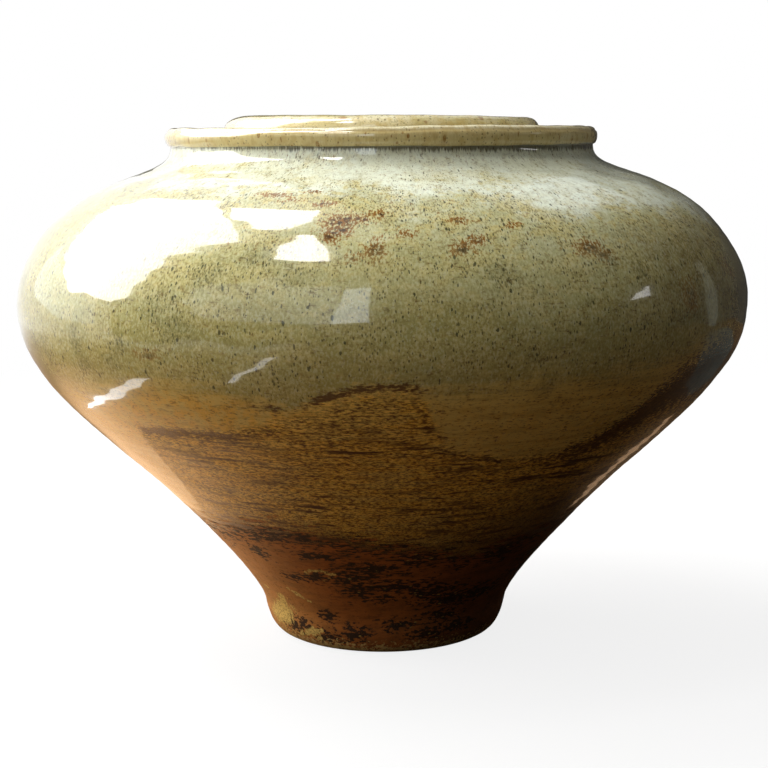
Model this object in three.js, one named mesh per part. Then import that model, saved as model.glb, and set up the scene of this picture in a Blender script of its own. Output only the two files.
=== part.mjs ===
// A squat lidded storage jar in glazed stoneware: a thrown vessel with a rolled rim, and the lid that
// lies loose inside that rim. Millimetres, +Z up. The origin is the middle of the foot, on the table.
//
// Both pieces are turned shapes. Each outline is drawn as radius against height, once round the
// section, out along its underside and back over its top, and is then spun about the Z axis.

import * as THREE from "three";

// The vessel's outer wall. It runs smoothly through five places: heel, cone, belly, shoulder and neck.
const HEEL_RADIUS = 68.7; // where the rounded foot turns into the wall
const HEEL_HEIGHT = 17.1;
const CONE_RADIUS = 125.9; // middle of the straight, opening lower wall
const CONE_HEIGHT = 88.4;
const BELLY_RADIUS = 200; // widest place
const BELLY_DROP = 95; // below the top of the rim
const SHOULDER_SPREAD = 35.5; // how much wider than the neck, in the middle of the upper wall
const SHOULDER_DROP = 30.6; // below the top of the rim
const NECK_RADIUS = 116.2; // narrowest place, in the hollow under the rolled rim
const RIM_HEIGHT = 281.3; // top of the rolled rim above the table

// How far the wall leans outwards as it rises, in degrees.
const HEEL_LEAN = 9.7;
const CONE_LEAN = 44.7;
const SHOULDER_LEAN = -65.6;

// The foot and the thicknesses of the vessel.
const HEEL_TUCK = 10.7; // how far the rounded foot draws in below the heel
const FOOT_RING_WIDTH = 9; // the flat ring that the jar stands on
const FOOT_RECESS = 6; // depth of the hollow turned under the floor
const RECESS_SLOPE = 3; // width of that hollow's sloping side
const FLOOR_THICKNESS = 10;
const FLOOR_CORNER = 33; // the floor inside is flat up to this far in from the heel
const WALL = 8;

// The rolled rim and the shallow gallery inside it, where the lid lies.
const RIM_ROLL = 5; // radius of the roll
const RIM_OVERHANG = 2.5; // how far the roll stands out from the neck
const NECK_UNDERCUT = 0.8; // upright bit of neck below the roll
const GALLERY_WIDTH = 20.7; // slope from the top of the rim in to the ledge
const GALLERY_DEPTH = 5;
const LEDGE_WIDTH = 18; // flat ring that carries the lid
const LEDGE_THICKNESS = 8;
const LIP_ROUND = 2.5; // rounding of the throat's upper and lower edges

// The lid.
const LID_MARGIN = 6.2; // flat ledge left free all round the lid
const LID_HEIGHT = 10.3; // of its rolled edge, above the ledge
const LID_TOP_ROUND = 9; // width of the roll's rounded top
const LID_UNDER_ROUND = 3; // rounding of the roll's lower edge
const LID_DISH = 4; // depth of the hollow top inside the roll
const LID_DISH_SLOPE = 13; // width of the slope down into that hollow
const LID_PLATE = 7; // thickness of the plate
const COLLAR_CLEARANCE = 2; // from the ring under the lid to the throat, all round
const COLLAR_WIDTH = 7;
const COLLAR_DEPTH = 11;
const COLLAR_ROUND = 2;
const SEAT_CLEARANCE = 0.3; // what glaze and grit keep between the lid and its ledge

// Fineness of the turned surfaces.
const SEGMENTS = 60;
const WALL_STEPS = 8;
const SLOPE_STEPS = 6;
const CORNER_STEPS = 3;

const crestRadius = NECK_RADIUS + RIM_OVERHANG - RIM_ROLL;
const ledgeRadius = crestRadius - GALLERY_WIDTH;
const ledgeHeight = RIM_HEIGHT - GALLERY_DEPTH;
const throatRadius = ledgeRadius - LEDGE_WIDTH;
const lidRadius = ledgeRadius - LID_MARGIN;

const point = (radius, height) => new THREE.Vector2(radius, height);
const OUT = point(1, 0);
const IN = point(-1, 0);
const UP = point(0, 1);
const DOWN = point(0, -1);

/** The direction in which a wall climbs when it leans outwards by that many degrees. */
function climbing(lean) {
  const angle = THREE.MathUtils.degToRad(lean);
  return point(Math.sin(angle), Math.cos(angle));
}

/** A place on a wall: where it is, how the wall leans, and how stiffly it bends below and above. */
function place(radius, height, lean, stiffBelow, stiffAbove) {
  return { at: point(radius, height), along: climbing(lean), stiffBelow, stiffAbove };
}

/** The same place on the inner face of a wall of that thickness. */
function innerFace(outer, thickness) {
  const inwards = point(-outer.along.y, outer.along.x);
  return { ...outer, at: outer.at.clone().addScaledVector(inwards, thickness) };
}

/** The points of one smooth stretch of wall, from its lower place up to its upper one. */
function wallBetween(lower, upper) {
  const span = lower.at.distanceTo(upper.at);
  const leaving = lower.at.clone().addScaledVector(lower.along, span * lower.stiffAbove);
  const arriving = upper.at.clone().addScaledVector(upper.along, -span * upper.stiffBelow);
  return new THREE.CubicBezierCurve(lower.at, leaving, arriving, upper.at).getPoints(WALL_STEPS);
}

/** The points of a wall that runs through all the places, from the bottom up. */
function wallThrough(places) {
  return places.slice(1).flatMap((upper, i) => wallBetween(places[i], upper));
}

/** A quarter of an ellipse from one point to another. It leaves the first one along direction. */
function corner(from, to, direction) {
  const across = to.clone().sub(from);
  const first = direction.clone().multiplyScalar(across.dot(direction));
  const second = across.clone().sub(first);
  return Array.from({ length: CORNER_STEPS + 1 }, (_, i) => {
    const turn = (Math.PI / 2) * (i / CORNER_STEPS);
    return from
      .clone()
      .addScaledVector(first, Math.sin(turn))
      .addScaledVector(second, 1 - Math.cos(turn));
  });
}

/** An S-shaped slope between two level stretches. */
function slope(from, to) {
  const middle = (from.x + to.x) / 2;
  const curve = new THREE.CubicBezierCurve(from, point(middle, from.y), point(middle, to.y), to);
  return curve.getPoints(SLOPE_STEPS);
}

/** Spins an outline about the Z axis, without the points that fall on the one before. */
function spin(outline) {
  const separate = outline.filter((p, i) => i === 0 || p.distanceTo(outline[i - 1]) > 1e-3);
  return new THREE.LatheGeometry(separate, SEGMENTS).rotateX(Math.PI / 2);
}

const neckHeight = RIM_HEIGHT - 2 * RIM_ROLL - NECK_UNDERCUT;
const shoulderRadius = NECK_RADIUS + SHOULDER_SPREAD;
const footEdge = place(HEEL_RADIUS - HEEL_TUCK, 0, 90, 0, 0.29);
const heel = place(HEEL_RADIUS, HEEL_HEIGHT, HEEL_LEAN, 0.46, 0.18);
const cone = place(CONE_RADIUS, CONE_HEIGHT, CONE_LEAN, 0.16, 0.41);
const belly = place(BELLY_RADIUS, RIM_HEIGHT - BELLY_DROP, 0, 0.29, 0.37);
const shoulder = place(shoulderRadius, RIM_HEIGHT - SHOULDER_DROP, SHOULDER_LEAN, 0.34, 0.47);
const neck = place(NECK_RADIUS, neckHeight, 0, 0.24, 0);

/** The underside: the hollow below the floor and the ring that stands on the table. */
function footOutline() {
  const ringInside = footEdge.at.x - FOOT_RING_WIDTH;
  return [
    point(0, FOOT_RECESS),
    point(ringInside - RECESS_SLOPE, FOOT_RECESS),
    point(ringInside, 0),
  ];
}

/** The rolled rim, from the neck round over the top and down the gallery to the ledge. */
function rimOutline() {
  const rollOutside = point(NECK_RADIUS + RIM_OVERHANG, RIM_HEIGHT - RIM_ROLL);
  const crest = point(crestRadius, RIM_HEIGHT);
  return [
    ...corner(point(NECK_RADIUS, RIM_HEIGHT - 2 * RIM_ROLL), rollOutside, OUT),
    ...corner(rollOutside, crest, UP),
    ...slope(crest, point(ledgeRadius, ledgeHeight)),
  ];
}

/** The throat: the ledge's inner edge, rounded above and below. */
function throatOutline() {
  const round = Math.min(LIP_ROUND, LEDGE_THICKNESS / 2);
  const underside = ledgeHeight - LEDGE_THICKNESS;
  return [
    ...corner(point(throatRadius + round, ledgeHeight), point(throatRadius, ledgeHeight - round), IN),
    ...corner(point(throatRadius, underside + round), point(throatRadius + round, underside), DOWN),
  ];
}

/** The inside, from the underside of the ledge down the wall to the middle of the floor. */
function hollowOutline() {
  const floorTop = FOOT_RECESS + FLOOR_THICKNESS;
  const floorEdge = place(HEEL_RADIUS - FLOOR_CORNER, floorTop, 90, 0, 0.35);
  const underLedge = place(throatRadius + LIP_ROUND, ledgeHeight - LEDGE_THICKNESS, -90, 0.45, 0);
  const innerWall = [cone, belly, shoulder].map((outer) => innerFace(outer, WALL));
  return [...wallThrough([floorEdge, ...innerWall, underLedge]).reverse(), point(0, floorTop)];
}

/** The vessel, thrown in one piece. */
function vessel() {
  const outerWall = wallThrough([footEdge, heel, cone, belly, shoulder, neck]);
  return spin([
    ...footOutline(),
    ...outerWall,
    ...rimOutline(),
    ...throatOutline(),
    ...hollowOutline(),
  ]);
}

/** The ring under the lid that keeps it over the throat, from its inside round to its outside. */
function collarOutline(top) {
  const outside = throatRadius - COLLAR_CLEARANCE;
  const inside = outside - COLLAR_WIDTH;
  const bottom = -COLLAR_DEPTH;
  const round = Math.min(COLLAR_ROUND, COLLAR_WIDTH / 2);
  return [
    point(inside - round, top),
    point(inside, top - round),
    ...corner(point(inside, bottom + round), point(inside + round, bottom), DOWN),
    ...corner(point(outside - round, bottom), point(outside, bottom + round), OUT),
    point(outside, 0),
  ];
}

/** The lid: a dished plate with a rolled edge, and the collar below. Height 0 is its seat. */
function lid() {
  const dishTop = LID_HEIGHT - LID_DISH;
  const plateUnderside = dishTop - LID_PLATE;
  const rollOutside = point(lidRadius, LID_UNDER_ROUND);
  const rollTop = point(lidRadius - LID_TOP_ROUND, LID_HEIGHT);
  return spin([
    point(0, plateUnderside),
    ...collarOutline(plateUnderside),
    ...corner(point(lidRadius - LID_UNDER_ROUND, 0), rollOutside, OUT),
    ...corner(rollOutside, rollTop, UP),
    ...slope(rollTop, point(rollTop.x - LID_DISH_SLOPE, dishTop)),
    point(0, dishTop),
  ]);
}

const jarGlaze = new THREE.MeshStandardMaterial({ color: 0x8b7d50, roughness: 0.15, metalness: 0 });
const lidGlaze = new THREE.MeshStandardMaterial({ color: 0xb5a878, roughness: 0.18, metalness: 0 });

const jarMesh = new THREE.Mesh(vessel(), jarGlaze);
jarMesh.name = "jar";

const lidMesh = new THREE.Mesh(lid(), lidGlaze);
lidMesh.name = "lid";
lidMesh.position.z = ledgeHeight + SEAT_CLEARANCE;

const liddedJar = new THREE.Group();
liddedJar.add(jarMesh, lidMesh);

export default liddedJar;
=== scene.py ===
import copy
import logging
import math
from dataclasses import dataclass
from enum import Enum

import bpy
import numpy as np
from mathutils import Matrix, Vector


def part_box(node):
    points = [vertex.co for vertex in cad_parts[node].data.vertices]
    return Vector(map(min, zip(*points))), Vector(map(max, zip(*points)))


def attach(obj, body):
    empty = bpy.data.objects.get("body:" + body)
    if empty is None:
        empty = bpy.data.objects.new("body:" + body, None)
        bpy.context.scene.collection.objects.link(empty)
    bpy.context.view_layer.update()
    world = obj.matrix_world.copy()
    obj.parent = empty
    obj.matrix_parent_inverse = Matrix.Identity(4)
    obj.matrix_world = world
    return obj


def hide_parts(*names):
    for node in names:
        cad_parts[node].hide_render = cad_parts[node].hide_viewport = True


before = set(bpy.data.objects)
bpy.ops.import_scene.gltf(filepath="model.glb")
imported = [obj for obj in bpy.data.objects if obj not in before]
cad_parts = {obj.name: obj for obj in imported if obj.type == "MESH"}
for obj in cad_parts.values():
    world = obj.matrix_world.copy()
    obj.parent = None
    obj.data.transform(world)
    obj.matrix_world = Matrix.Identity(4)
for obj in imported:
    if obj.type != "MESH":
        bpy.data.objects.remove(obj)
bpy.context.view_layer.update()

# A squat lidded storage jar in glazed stoneware, around its CAD frame. Metres, +Z up, the origin in the
# middle of the foot. Jar and lid are turned again here with fine surfaces: the slight unevenness of the
# throwing, the running ash glaze with its iron flecks, and the red-brown clay that it leaves bare.
#
# A turn is an angle round the jar in degrees, 0 at the front (-Y) and growing to the right (+X).

MM = 0.001
WHITE = (1.0, 1.0, 1.0)
SKY_BLUE = (0.84, 0.93, 1.0)
RING_SIDES = 256
CURVE_STEPS = 240
CORNER_STEPS = 60

Colour = tuple[float, float, float]
Socket = bpy.types.NodeSocket
Value = Socket | float | tuple[float, ...]
Inputs = dict[str | int, Value]
Corners = list[np.ndarray] | tuple[tuple[float, ...], ...]

OUT = np.array([1.0, 0.0])
IN = -OUT
UP = np.array([0.0, 1.0])
DOWN = -UP

log = logging.getLogger("lidded_jar")


class Skin(Enum):
    """What covers a stretch of a turned piece. The value is its material's place on the piece."""

    GLAZE = 0
    LINING = 1
    CLAY = 2


# Outlines


def point(radius: float, height: float) -> np.ndarray:
    """A point of an outline."""
    return np.array([radius, height])


def cubic(start: np.ndarray, leaving: np.ndarray, arriving: np.ndarray, end: np.ndarray) -> np.ndarray:
    """A Bezier curve, drawn densely.

    Args:
        start: the first point.
        leaving: the handle that the curve leaves it along.
        arriving: the handle that it comes in along.
        end: the last point.

    Returns:
        The curve's points, one to a row.
    """
    t = np.linspace(0.0, 1.0, CURVE_STEPS)[:, None]
    s = 1.0 - t
    return s**3 * start + 3 * s**2 * t * leaving + 3 * s * t**2 * arriving + t**3 * end


def corner(start: np.ndarray, end: np.ndarray, direction: np.ndarray) -> np.ndarray:
    """A quarter of an ellipse between two points, drawn densely.

    Args:
        start: the first point.
        end: the last point.
        direction: the way in which the curve leaves the first point.

    Returns:
        The curve's points, one to a row.
    """
    across = end - start
    first = direction * (across @ direction)
    second = across - first
    angle = np.linspace(0.0, math.pi / 2, CORNER_STEPS)[:, None]
    return start + first * np.sin(angle) + second * (1.0 - np.cos(angle))


def slope(start: np.ndarray, end: np.ndarray) -> np.ndarray:
    """An S-shaped slope between two level stretches.

    Args:
        start: the first point.
        end: the last point.

    Returns:
        The slope's points, one to a row.
    """
    middle = (start[0] + end[0]) / 2
    return cubic(start, point(middle, start[1]), point(middle, end[1]), end)


def straight(start: np.ndarray, end: np.ndarray) -> np.ndarray:
    """The two ends of a straight stretch."""
    return np.array([start, end])


def run_along(points: np.ndarray) -> np.ndarray:
    """How far along a line each of its points lies."""
    steps = np.linalg.norm(np.diff(points, axis=0), axis=1)
    return np.concatenate([[0.0], np.cumsum(steps)])


def evenly(points: np.ndarray, spacing: float) -> np.ndarray:
    """The same line with its points the same distance apart.

    Args:
        points: the line, drawn densely.
        spacing: the distance wanted between two points.

    Returns:
        The new points, with the line's own two ends.
    """
    run = run_along(points)
    places = np.linspace(0.0, run[-1], max(1, round(run[-1] / spacing)) + 1)
    return np.column_stack([np.interp(places, run, points[:, axis]) for axis in (0, 1)])


@dataclass(frozen=True)
class Place:
    """A place that a wall runs through: where it is, how it leans, and how stiffly it bends there."""

    radius: float
    height: float
    lean: float
    stiff_below: float = 0.0
    stiff_above: float = 0.0

    @property
    def at(self) -> np.ndarray:
        """The place as a point of the outline."""
        return point(self.radius, self.height)

    @property
    def along(self) -> np.ndarray:
        """The way in which the wall climbs here."""
        angle = math.radians(self.lean)
        return point(math.sin(angle), math.cos(angle))

    def inner_face(self, wall: float) -> "Place":
        """The same place on the inside of a wall of that thickness."""
        along = self.along
        at = self.at + wall * point(-along[1], along[0])
        return Place(at[0], at[1], self.lean, self.stiff_below, self.stiff_above)


def wall_through(places: list[Place]) -> np.ndarray:
    """A wall that runs smoothly through all the places, from the bottom up.

    Args:
        places: the places, the lowest first.

    Returns:
        The wall's points, drawn densely.
    """
    parts = []
    for lower, upper in zip(places, places[1:]):
        span = np.linalg.norm(upper.at - lower.at)
        leaving = lower.at + lower.along * span * lower.stiff_above
        arriving = upper.at - upper.along * span * upper.stiff_below
        parts.append(cubic(lower.at, leaving, arriving, upper.at)[bool(parts):])
    return np.concatenate(parts)


@dataclass(frozen=True)
class Stretch:
    """One stretch of a piece's outline: its line, how finely it is cut, its skin and how uneven it is."""

    line: np.ndarray
    spacing: float
    skin: Skin
    uneven: float = 0.0


class Section:
    """A piece's whole outline, from the axis out along its underside and back over its top to the axis.

    Args:
        stretches: the outline's stretches in order, each starting where the one before ends.
    """

    def __init__(self, stretches: list[Stretch]) -> None:
        cut = [evenly(stretch.line, stretch.spacing) for stretch in stretches]
        self.points = np.concatenate([cut[0], *[part[1:] for part in cut[1:]]])
        counts = [len(part) - 1 for part in cut]
        self.skins = np.repeat([stretch.skin.value for stretch in stretches], counts)
        joints = np.concatenate([[0], np.cumsum(counts)])
        middles = (joints[1:] + joints[:-1]) / 2
        self.uneven = np.interp(np.arange(len(self.points)), middles, [s.uneven for s in stretches])
        self.run = run_along(self.points)
        ahead = np.gradient(self.points, axis=0)
        ahead /= np.linalg.norm(ahead, axis=1)[:, None]
        self.outward = np.column_stack([ahead[:, 1], -ahead[:, 0]])
        heading = np.unwrap(np.arctan2(ahead[:, 1], ahead[:, 0]))
        self.bend = np.gradient(heading) / np.maximum(np.gradient(self.run), 1e-9)

    def run_at(self, place: np.ndarray) -> float:
        """How far along the outline the point nearest to a place lies."""
        return float(self.run[np.linalg.norm(self.points - place, axis=1).argmin()])


# The turned surface


def smooth_step(value: np.ndarray, low: float, high: float) -> np.ndarray:
    """A smooth step from 0, at low and beyond it, to 1, at high and beyond it."""
    t = np.clip((value - low) / (high - low), 0.0, 1.0)
    return t * t * (3.0 - 2.0 * t)


def window(value: np.ndarray, rising: tuple[float, float], falling: tuple[float, float]) -> np.ndarray:
    """A mask that rises from 0 to 1 over one range of values and falls back over another."""
    return smooth_step(value, *rising) * smooth_step(value, falling[1], falling[0])


@dataclass(frozen=True)
class Waves:
    """A smooth unevenness round a piece: a sum of waves with seeded turns and places."""

    depth: float
    across: tuple[int, int]
    along: tuple[float, float]
    count: int
    seed: int

    def over(self, turn: np.ndarray, run: np.ndarray) -> np.ndarray:
        """The unevenness in metres at each turn, in radians, and run."""
        draw = np.random.default_rng(self.seed)
        total = np.zeros(np.broadcast(turn, run).shape)
        for _ in range(self.count):
            lobes = draw.integers(self.across[0], self.across[1] + 1)
            length = draw.uniform(*self.along) * draw.choice([-1.0, 1.0])
            total += np.cos(lobes * turn + math.tau * (run / length + draw.random()))
        return total * self.depth / math.sqrt(self.count / 2)


@dataclass(frozen=True)
class Mark:
    """A patch on the wall: its middle, its half width round the jar and half height along the wall."""

    turn: float
    height: float
    across: float
    up: float
    tilt: float = 0.0


def marks(*rows: tuple[float, ...]) -> tuple[Mark, ...]:
    """Marks from rows of turn, height, across, up and, where it leans, tilt."""
    return tuple(Mark(*row) for row in rows)


@dataclass(frozen=True)
class Swing:
    """A value that changes round the jar, as points of turn and value. Beyond them it stays the same."""

    points: tuple[tuple[float, float], ...]

    def at(self, turn: np.ndarray) -> np.ndarray:
        """The value at each turn, in degrees."""
        turns, values = zip(*self.points)
        return np.interp(turn, turns, values)


@dataclass(frozen=True)
class Tide:
    """The height at which a glaze ends, as points of turn and height all round the jar."""

    points: tuple[tuple[float, float], ...]

    def at(self, turn: np.ndarray) -> np.ndarray:
        """The height in metres at each turn, in degrees."""
        turns, heights = zip(*self.points)
        return np.interp(turn, turns, np.array(heights) * MM, period=360.0)


class TurnedPiece:
    """A piece spun from its section, with the masks that its finishes read.

    Args:
        name: the piece's name.
        section: its outline.
    """

    def __init__(self, name: str, section: Section) -> None:
        self.name = name
        self.section = section
        self.angle = np.arange(RING_SIDES) * math.tau / RING_SIDES
        self.turn = (np.degrees(self.angle) + 270.0) % 360.0 - 180.0
        rings = section.points[1:-1]
        self.radius = np.repeat(rings[:, :1], RING_SIDES, axis=1)
        self.height = np.repeat(rings[:, 1:], RING_SIDES, axis=1)
        self.run = np.repeat(section.run[1:-1, None], RING_SIDES, axis=1)
        self.uneven = section.uneven[1:-1, None]
        self.masks: dict[str, np.ndarray] = {}

    def press(self, depth: np.ndarray) -> None:
        """Moves the surface outwards, square to the section, by a depth for each point of each ring."""
        outward = self.section.outward[1:-1]
        self.radius = self.radius + outward[:, :1] * depth
        self.height = self.height + outward[:, 1:] * depth

    def mask(self, name: str, values: np.ndarray) -> None:
        """Keeps a value for each point of each ring under a name that the finishes read."""
        self.masks[name] = np.broadcast_to(values, self.radius.shape)

    def paint(self, name: str, marks: list[Mark], run_of: np.ndarray, heights: np.ndarray) -> None:
        """Keeps how deep inside a mark each point lies: 1 in its middle, 0.5 on its edge, 0 well outside.

        Args:
            name: the mask's name.
            marks: the marks.
            run_of: the wall's run at each of heights.
            heights: rising heights on the outer wall.
        """
        painted = np.zeros(self.radius.shape)
        for mark in marks:
            middle = np.interp(mark.height * MM, heights, run_of)
            lean = math.radians(mark.tilt)
            x = np.radians((self.turn - mark.turn + 180.0) % 360.0 - 180.0) * self.radius
            y = self.run - middle
            across = (x * math.cos(lean) + y * math.sin(lean)) / (mark.across * MM)
            up = (y * math.cos(lean) - x * math.sin(lean)) / (mark.up * MM)
            painted = np.maximum(painted, 1.0 - 0.5 * np.hypot(across, up))
        self.mask(name, painted)

    def build(self, materials: list[bpy.types.Material]) -> bpy.types.Object:
        """Spins the mesh.

        Args:
            materials: one for each skin, in the skins' order.

        Returns:
            The piece, at the origin and with its place in its mesh.
        """
        rings, sides = self.radius.shape
        x = self.radius * np.cos(self.angle)
        y = self.radius * np.sin(self.angle)
        first, last = self.section.points[0], self.section.points[-1]
        corners = np.concatenate([
            [[0.0, 0.0, first[1]]],
            np.stack([x, y, self.height], axis=-1).reshape(-1, 3),
            [[0.0, 0.0, last[1]]],
        ])
        index = 1 + np.arange(rings * sides).reshape(rings, sides)
        beside = np.roll(index, -1, axis=1)
        quads = np.stack([index[:-1], beside[:-1], beside[1:], index[1:]], axis=-1).reshape(-1, 4)
        top = len(corners) - 1
        fans = [[0, int(b), int(a)] for a, b in zip(index[0], beside[0])]
        fans += [[int(a), int(b), top] for a, b in zip(index[-1], beside[-1])]
        mesh = bpy.data.meshes.new(self.name)
        mesh.from_pydata(corners.tolist(), [], quads.tolist() + fans)
        skins = np.repeat(self.section.skins[1:-1], sides)
        ends = [self.section.skins[0]] * sides + [self.section.skins[-1]] * sides
        mesh.polygons.foreach_set("material_index", np.concatenate([skins, ends]).astype(np.int32))
        mesh.polygons.foreach_set("use_smooth", np.ones(len(mesh.polygons), bool))
        for name, values in {"run": self.run, **self.masks}.items():
            flat = np.concatenate([values[0, :1], values.ravel(), values[-1, :1]])
            layer = mesh.attributes.new(name, "FLOAT", "POINT")
            layer.data.foreach_set("value", flat.astype(np.float32))
        for material in materials:
            mesh.materials.append(material)
        mesh.update()
        piece = bpy.data.objects.new(self.name, mesh)
        bpy.context.scene.collection.objects.link(piece)
        return piece


# Shader nodes


class Graph:
    """A node tree with short ways to add to it.

    Args:
        tree: the tree that the nodes go into.
    """

    def __init__(self, tree: bpy.types.NodeTree) -> None:
        self.tree = tree

    def feed(self, socket: Socket, value: Value) -> None:
        """Links a socket to another one, or sets its own value."""
        if isinstance(value, Socket):
            self.tree.links.new(value, socket)
        elif isinstance(value, tuple) and len(socket.default_value) == 4:
            socket.default_value = (*value[:3], 1.0)
        else:
            socket.default_value = value

    def node(self, kind: str, inputs: Inputs | None = None, **settings) -> bpy.types.Node:
        """Adds a node.

        Args:
            kind: the node's type.
            inputs: what goes into its sockets, by their name or number.
            settings: its own settings.

        Returns:
            The node.
        """
        node = self.tree.nodes.new(kind)
        for name, value in settings.items():
            setattr(node, name, value)
        for name, value in (inputs or {}).items():
            self.feed(node.inputs[name], value)
        return node

    def math(
        self, operation: str, a: Value, b: Value = 0.0, c: Value = 0.0, clamp: bool = False
    ) -> Socket:
        """The result of a sum on two or three numbers."""
        inputs = {0: a, 1: b, 2: c}
        return self.node("ShaderNodeMath", inputs, operation=operation, use_clamp=clamp).outputs[0]

    def times(self, a: Value, b: Value) -> Socket:
        """One number times another."""
        return self.math("MULTIPLY", a, b)

    def plus(self, a: Value, b: Value) -> Socket:
        """One number and another."""
        return self.math("ADD", a, b)

    def minus(self, a: Value, b: Value) -> Socket:
        """One number less another."""
        return self.math("SUBTRACT", a, b)

    def larger(self, a: Value, b: Value) -> Socket:
        """The larger of two numbers."""
        return self.math("MAXIMUM", a, b)

    def scaled(self, value: Value, factor: Value, offset: Value) -> Socket:
        """A number times a factor, with an offset added."""
        return self.math("MULTIPLY_ADD", value, factor, offset)

    def vector(self, operation: str, inputs: Inputs, output: str = "Vector") -> Socket:
        """The result of a sum on vectors."""
        return self.node("ShaderNodeVectorMath", inputs, operation=operation).outputs[output]

    def parts(self, vector: Value) -> list[Socket]:
        """The three parts of a vector."""
        return list(self.node("ShaderNodeSeparateXYZ", {0: vector}).outputs)

    def rise(
        self, value: Value, low: float, high: float, start: Value = 0.0, end: Value = 1.0
    ) -> Socket:
        """A smooth step of a number.

        Args:
            value: the number.
            low: where the step starts.
            high: where it ends.
            start: what it gives before the step.
            end: what it gives after it.

        Returns:
            The stepped number.
        """
        inputs = {"Value": value, "From Min": low, "From Max": high, "To Min": start, "To Max": end}
        return self.node("ShaderNodeMapRange", inputs, interpolation_type="SMOOTHSTEP").outputs[0]

    def blend(self, share: Value, a: Value, b: Value) -> Socket:
        """A colour between two colours."""
        return self.node("ShaderNodeMix", {0: share, 6: a, 7: b}, data_type="RGBA").outputs[2]

    def between(self, share: Value, a: Value, b: Value) -> Socket:
        """A number between two numbers."""
        return self.node("ShaderNodeMix", {0: share, 2: a, 3: b}, data_type="FLOAT").outputs[0]

    def over(self, colour: Value, tint: Value, mask: Value, share: Value) -> Socket:
        """A colour with a tint over it where a mask is, as far as a share of the tint."""
        return self.blend(self.times(mask, share), colour, tint)

    def tinge(
        self, colour: Value, tint: Value, pattern: Value, low: float, high: float, share: Value
    ) -> Socket:
        """A colour with a tint over it where a pattern is high.

        Args:
            colour: the colour so far.
            tint: the colour that goes over it.
            pattern: a number from 0 to 1.
            low: the pattern's value where the tint starts.
            high: its value where the tint is full. Below low, the tint is where the pattern is low.
            share: how much of the tint shows where it is full.

        Returns:
            The new colour.
        """
        return self.over(colour, tint, self.rise(pattern, low, high), share)

    def attribute(self, name: str) -> Socket:
        """A mask that the mesh carries."""
        return self.node("ShaderNodeAttribute", attribute_name=name).outputs["Fac"]

    def millimetres(self, name: str) -> Socket:
        """A distance that the mesh carries, in millimetres."""
        return self.times(self.attribute(name), 1.0 / MM)

    def ramp(self, value: Value, stops: list[tuple[float, Colour]]) -> Socket:
        """A colour that changes smoothly with a number from 0 to 1.

        Args:
            value: the number.
            stops: the colours, each with the number that it belongs to.

        Returns:
            The colour.
        """
        node = self.node("ShaderNodeValToRGB", {0: value})
        node.color_ramp.interpolation = "EASE"
        elements = node.color_ramp.elements
        for _ in stops[2:]:
            elements.new(0.5)
        for element, (place, colour) in zip(elements, stops):
            element.position = place
            element.color = (*colour, 1.0)
        return node.outputs["Color"]


FLOAT = "NodeSocketFloat"
VECTOR = "NodeSocketVector"


class Effect:
    """A shader node group that is built once and then placed in each finish with its own values."""

    name = ""
    takes: dict[str, str] = {}
    gives = ""

    def wire(self, graph: Graph, given: dict[str, Socket]) -> Socket:
        """Builds the group's inside.

        Args:
            graph: the group's own tree.
            given: its inputs by name.

        Returns:
            What its output gives.
        """
        raise NotImplementedError

    def tree(self) -> bpy.types.NodeTree:
        """The group's tree, built the first time that it is asked for."""
        found = bpy.data.node_groups.get(self.name)
        if found:
            return found
        tree = bpy.data.node_groups.new(self.name, "ShaderNodeTree")
        for socket, kind in self.takes.items():
            tree.interface.new_socket(socket, in_out="INPUT", socket_type=kind)
        output = "Vector" if self.gives == VECTOR else "Mask"
        tree.interface.new_socket(output, in_out="OUTPUT", socket_type=self.gives)
        graph = Graph(tree)
        entry = graph.node("NodeGroupInput").outputs
        result = self.wire(graph, {name: entry[name] for name in self.takes})
        graph.node("NodeGroupOutput", {output: result})
        return tree

    def place(self, graph: Graph, inputs: Inputs) -> Socket:
        """Places the group in a finish and gives its output."""
        return graph.node("ShaderNodeGroup", inputs, node_tree=self.tree()).outputs[0]


class Grain(Effect):
    """Pattern space laid on the turned surface: one unit is Across round the jar and Along down its wall.

    Across is true where the surface's radius is Radius.
    """

    name = "turned_grain"
    takes = {"Position": VECTOR, "Run": FLOAT, "Across": FLOAT, "Along": FLOAT, "Radius": FLOAT}
    gives = VECTOR

    def wire(self, graph: Graph, given: dict[str, Socket]) -> Socket:
        """See Effect.wire."""
        flat = graph.vector("MULTIPLY", {0: given["Position"], 1: (1.0, 1.0, 0.0)})
        ring = graph.vector("NORMALIZE", {0: flat})
        share = graph.math("DIVIDE", given["Radius"], given["Across"])
        x, y, _ = graph.parts(graph.vector("SCALE", {0: ring, "Scale": share}))
        along = graph.math("DIVIDE", given["Run"], given["Along"])
        return graph.node("ShaderNodeCombineXYZ", {0: x, 1: y, 2: along}).outputs[0]


class Clouds(Effect):
    """Soft patches from 0 to 1, sharper with Contrast."""

    name = "clouds"
    takes = {"Vector": VECTOR, "Detail": FLOAT, "Contrast": FLOAT, "Shift": FLOAT}
    gives = FLOAT
    roughness = 0.6

    def wire(self, graph: Graph, given: dict[str, Socket]) -> Socket:
        """See Effect.wire."""
        moved = graph.vector("ADD", {0: given["Vector"], 1: given["Shift"]})
        inputs = {"Vector": moved, "Scale": 1.0, "Detail": given["Detail"], "Roughness": self.roughness}
        noise = graph.node("ShaderNodeTexNoise", inputs).outputs[0]
        return graph.math("MULTIPLY_ADD", graph.minus(noise, 0.5), given["Contrast"], 0.5, clamp=True)


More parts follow.
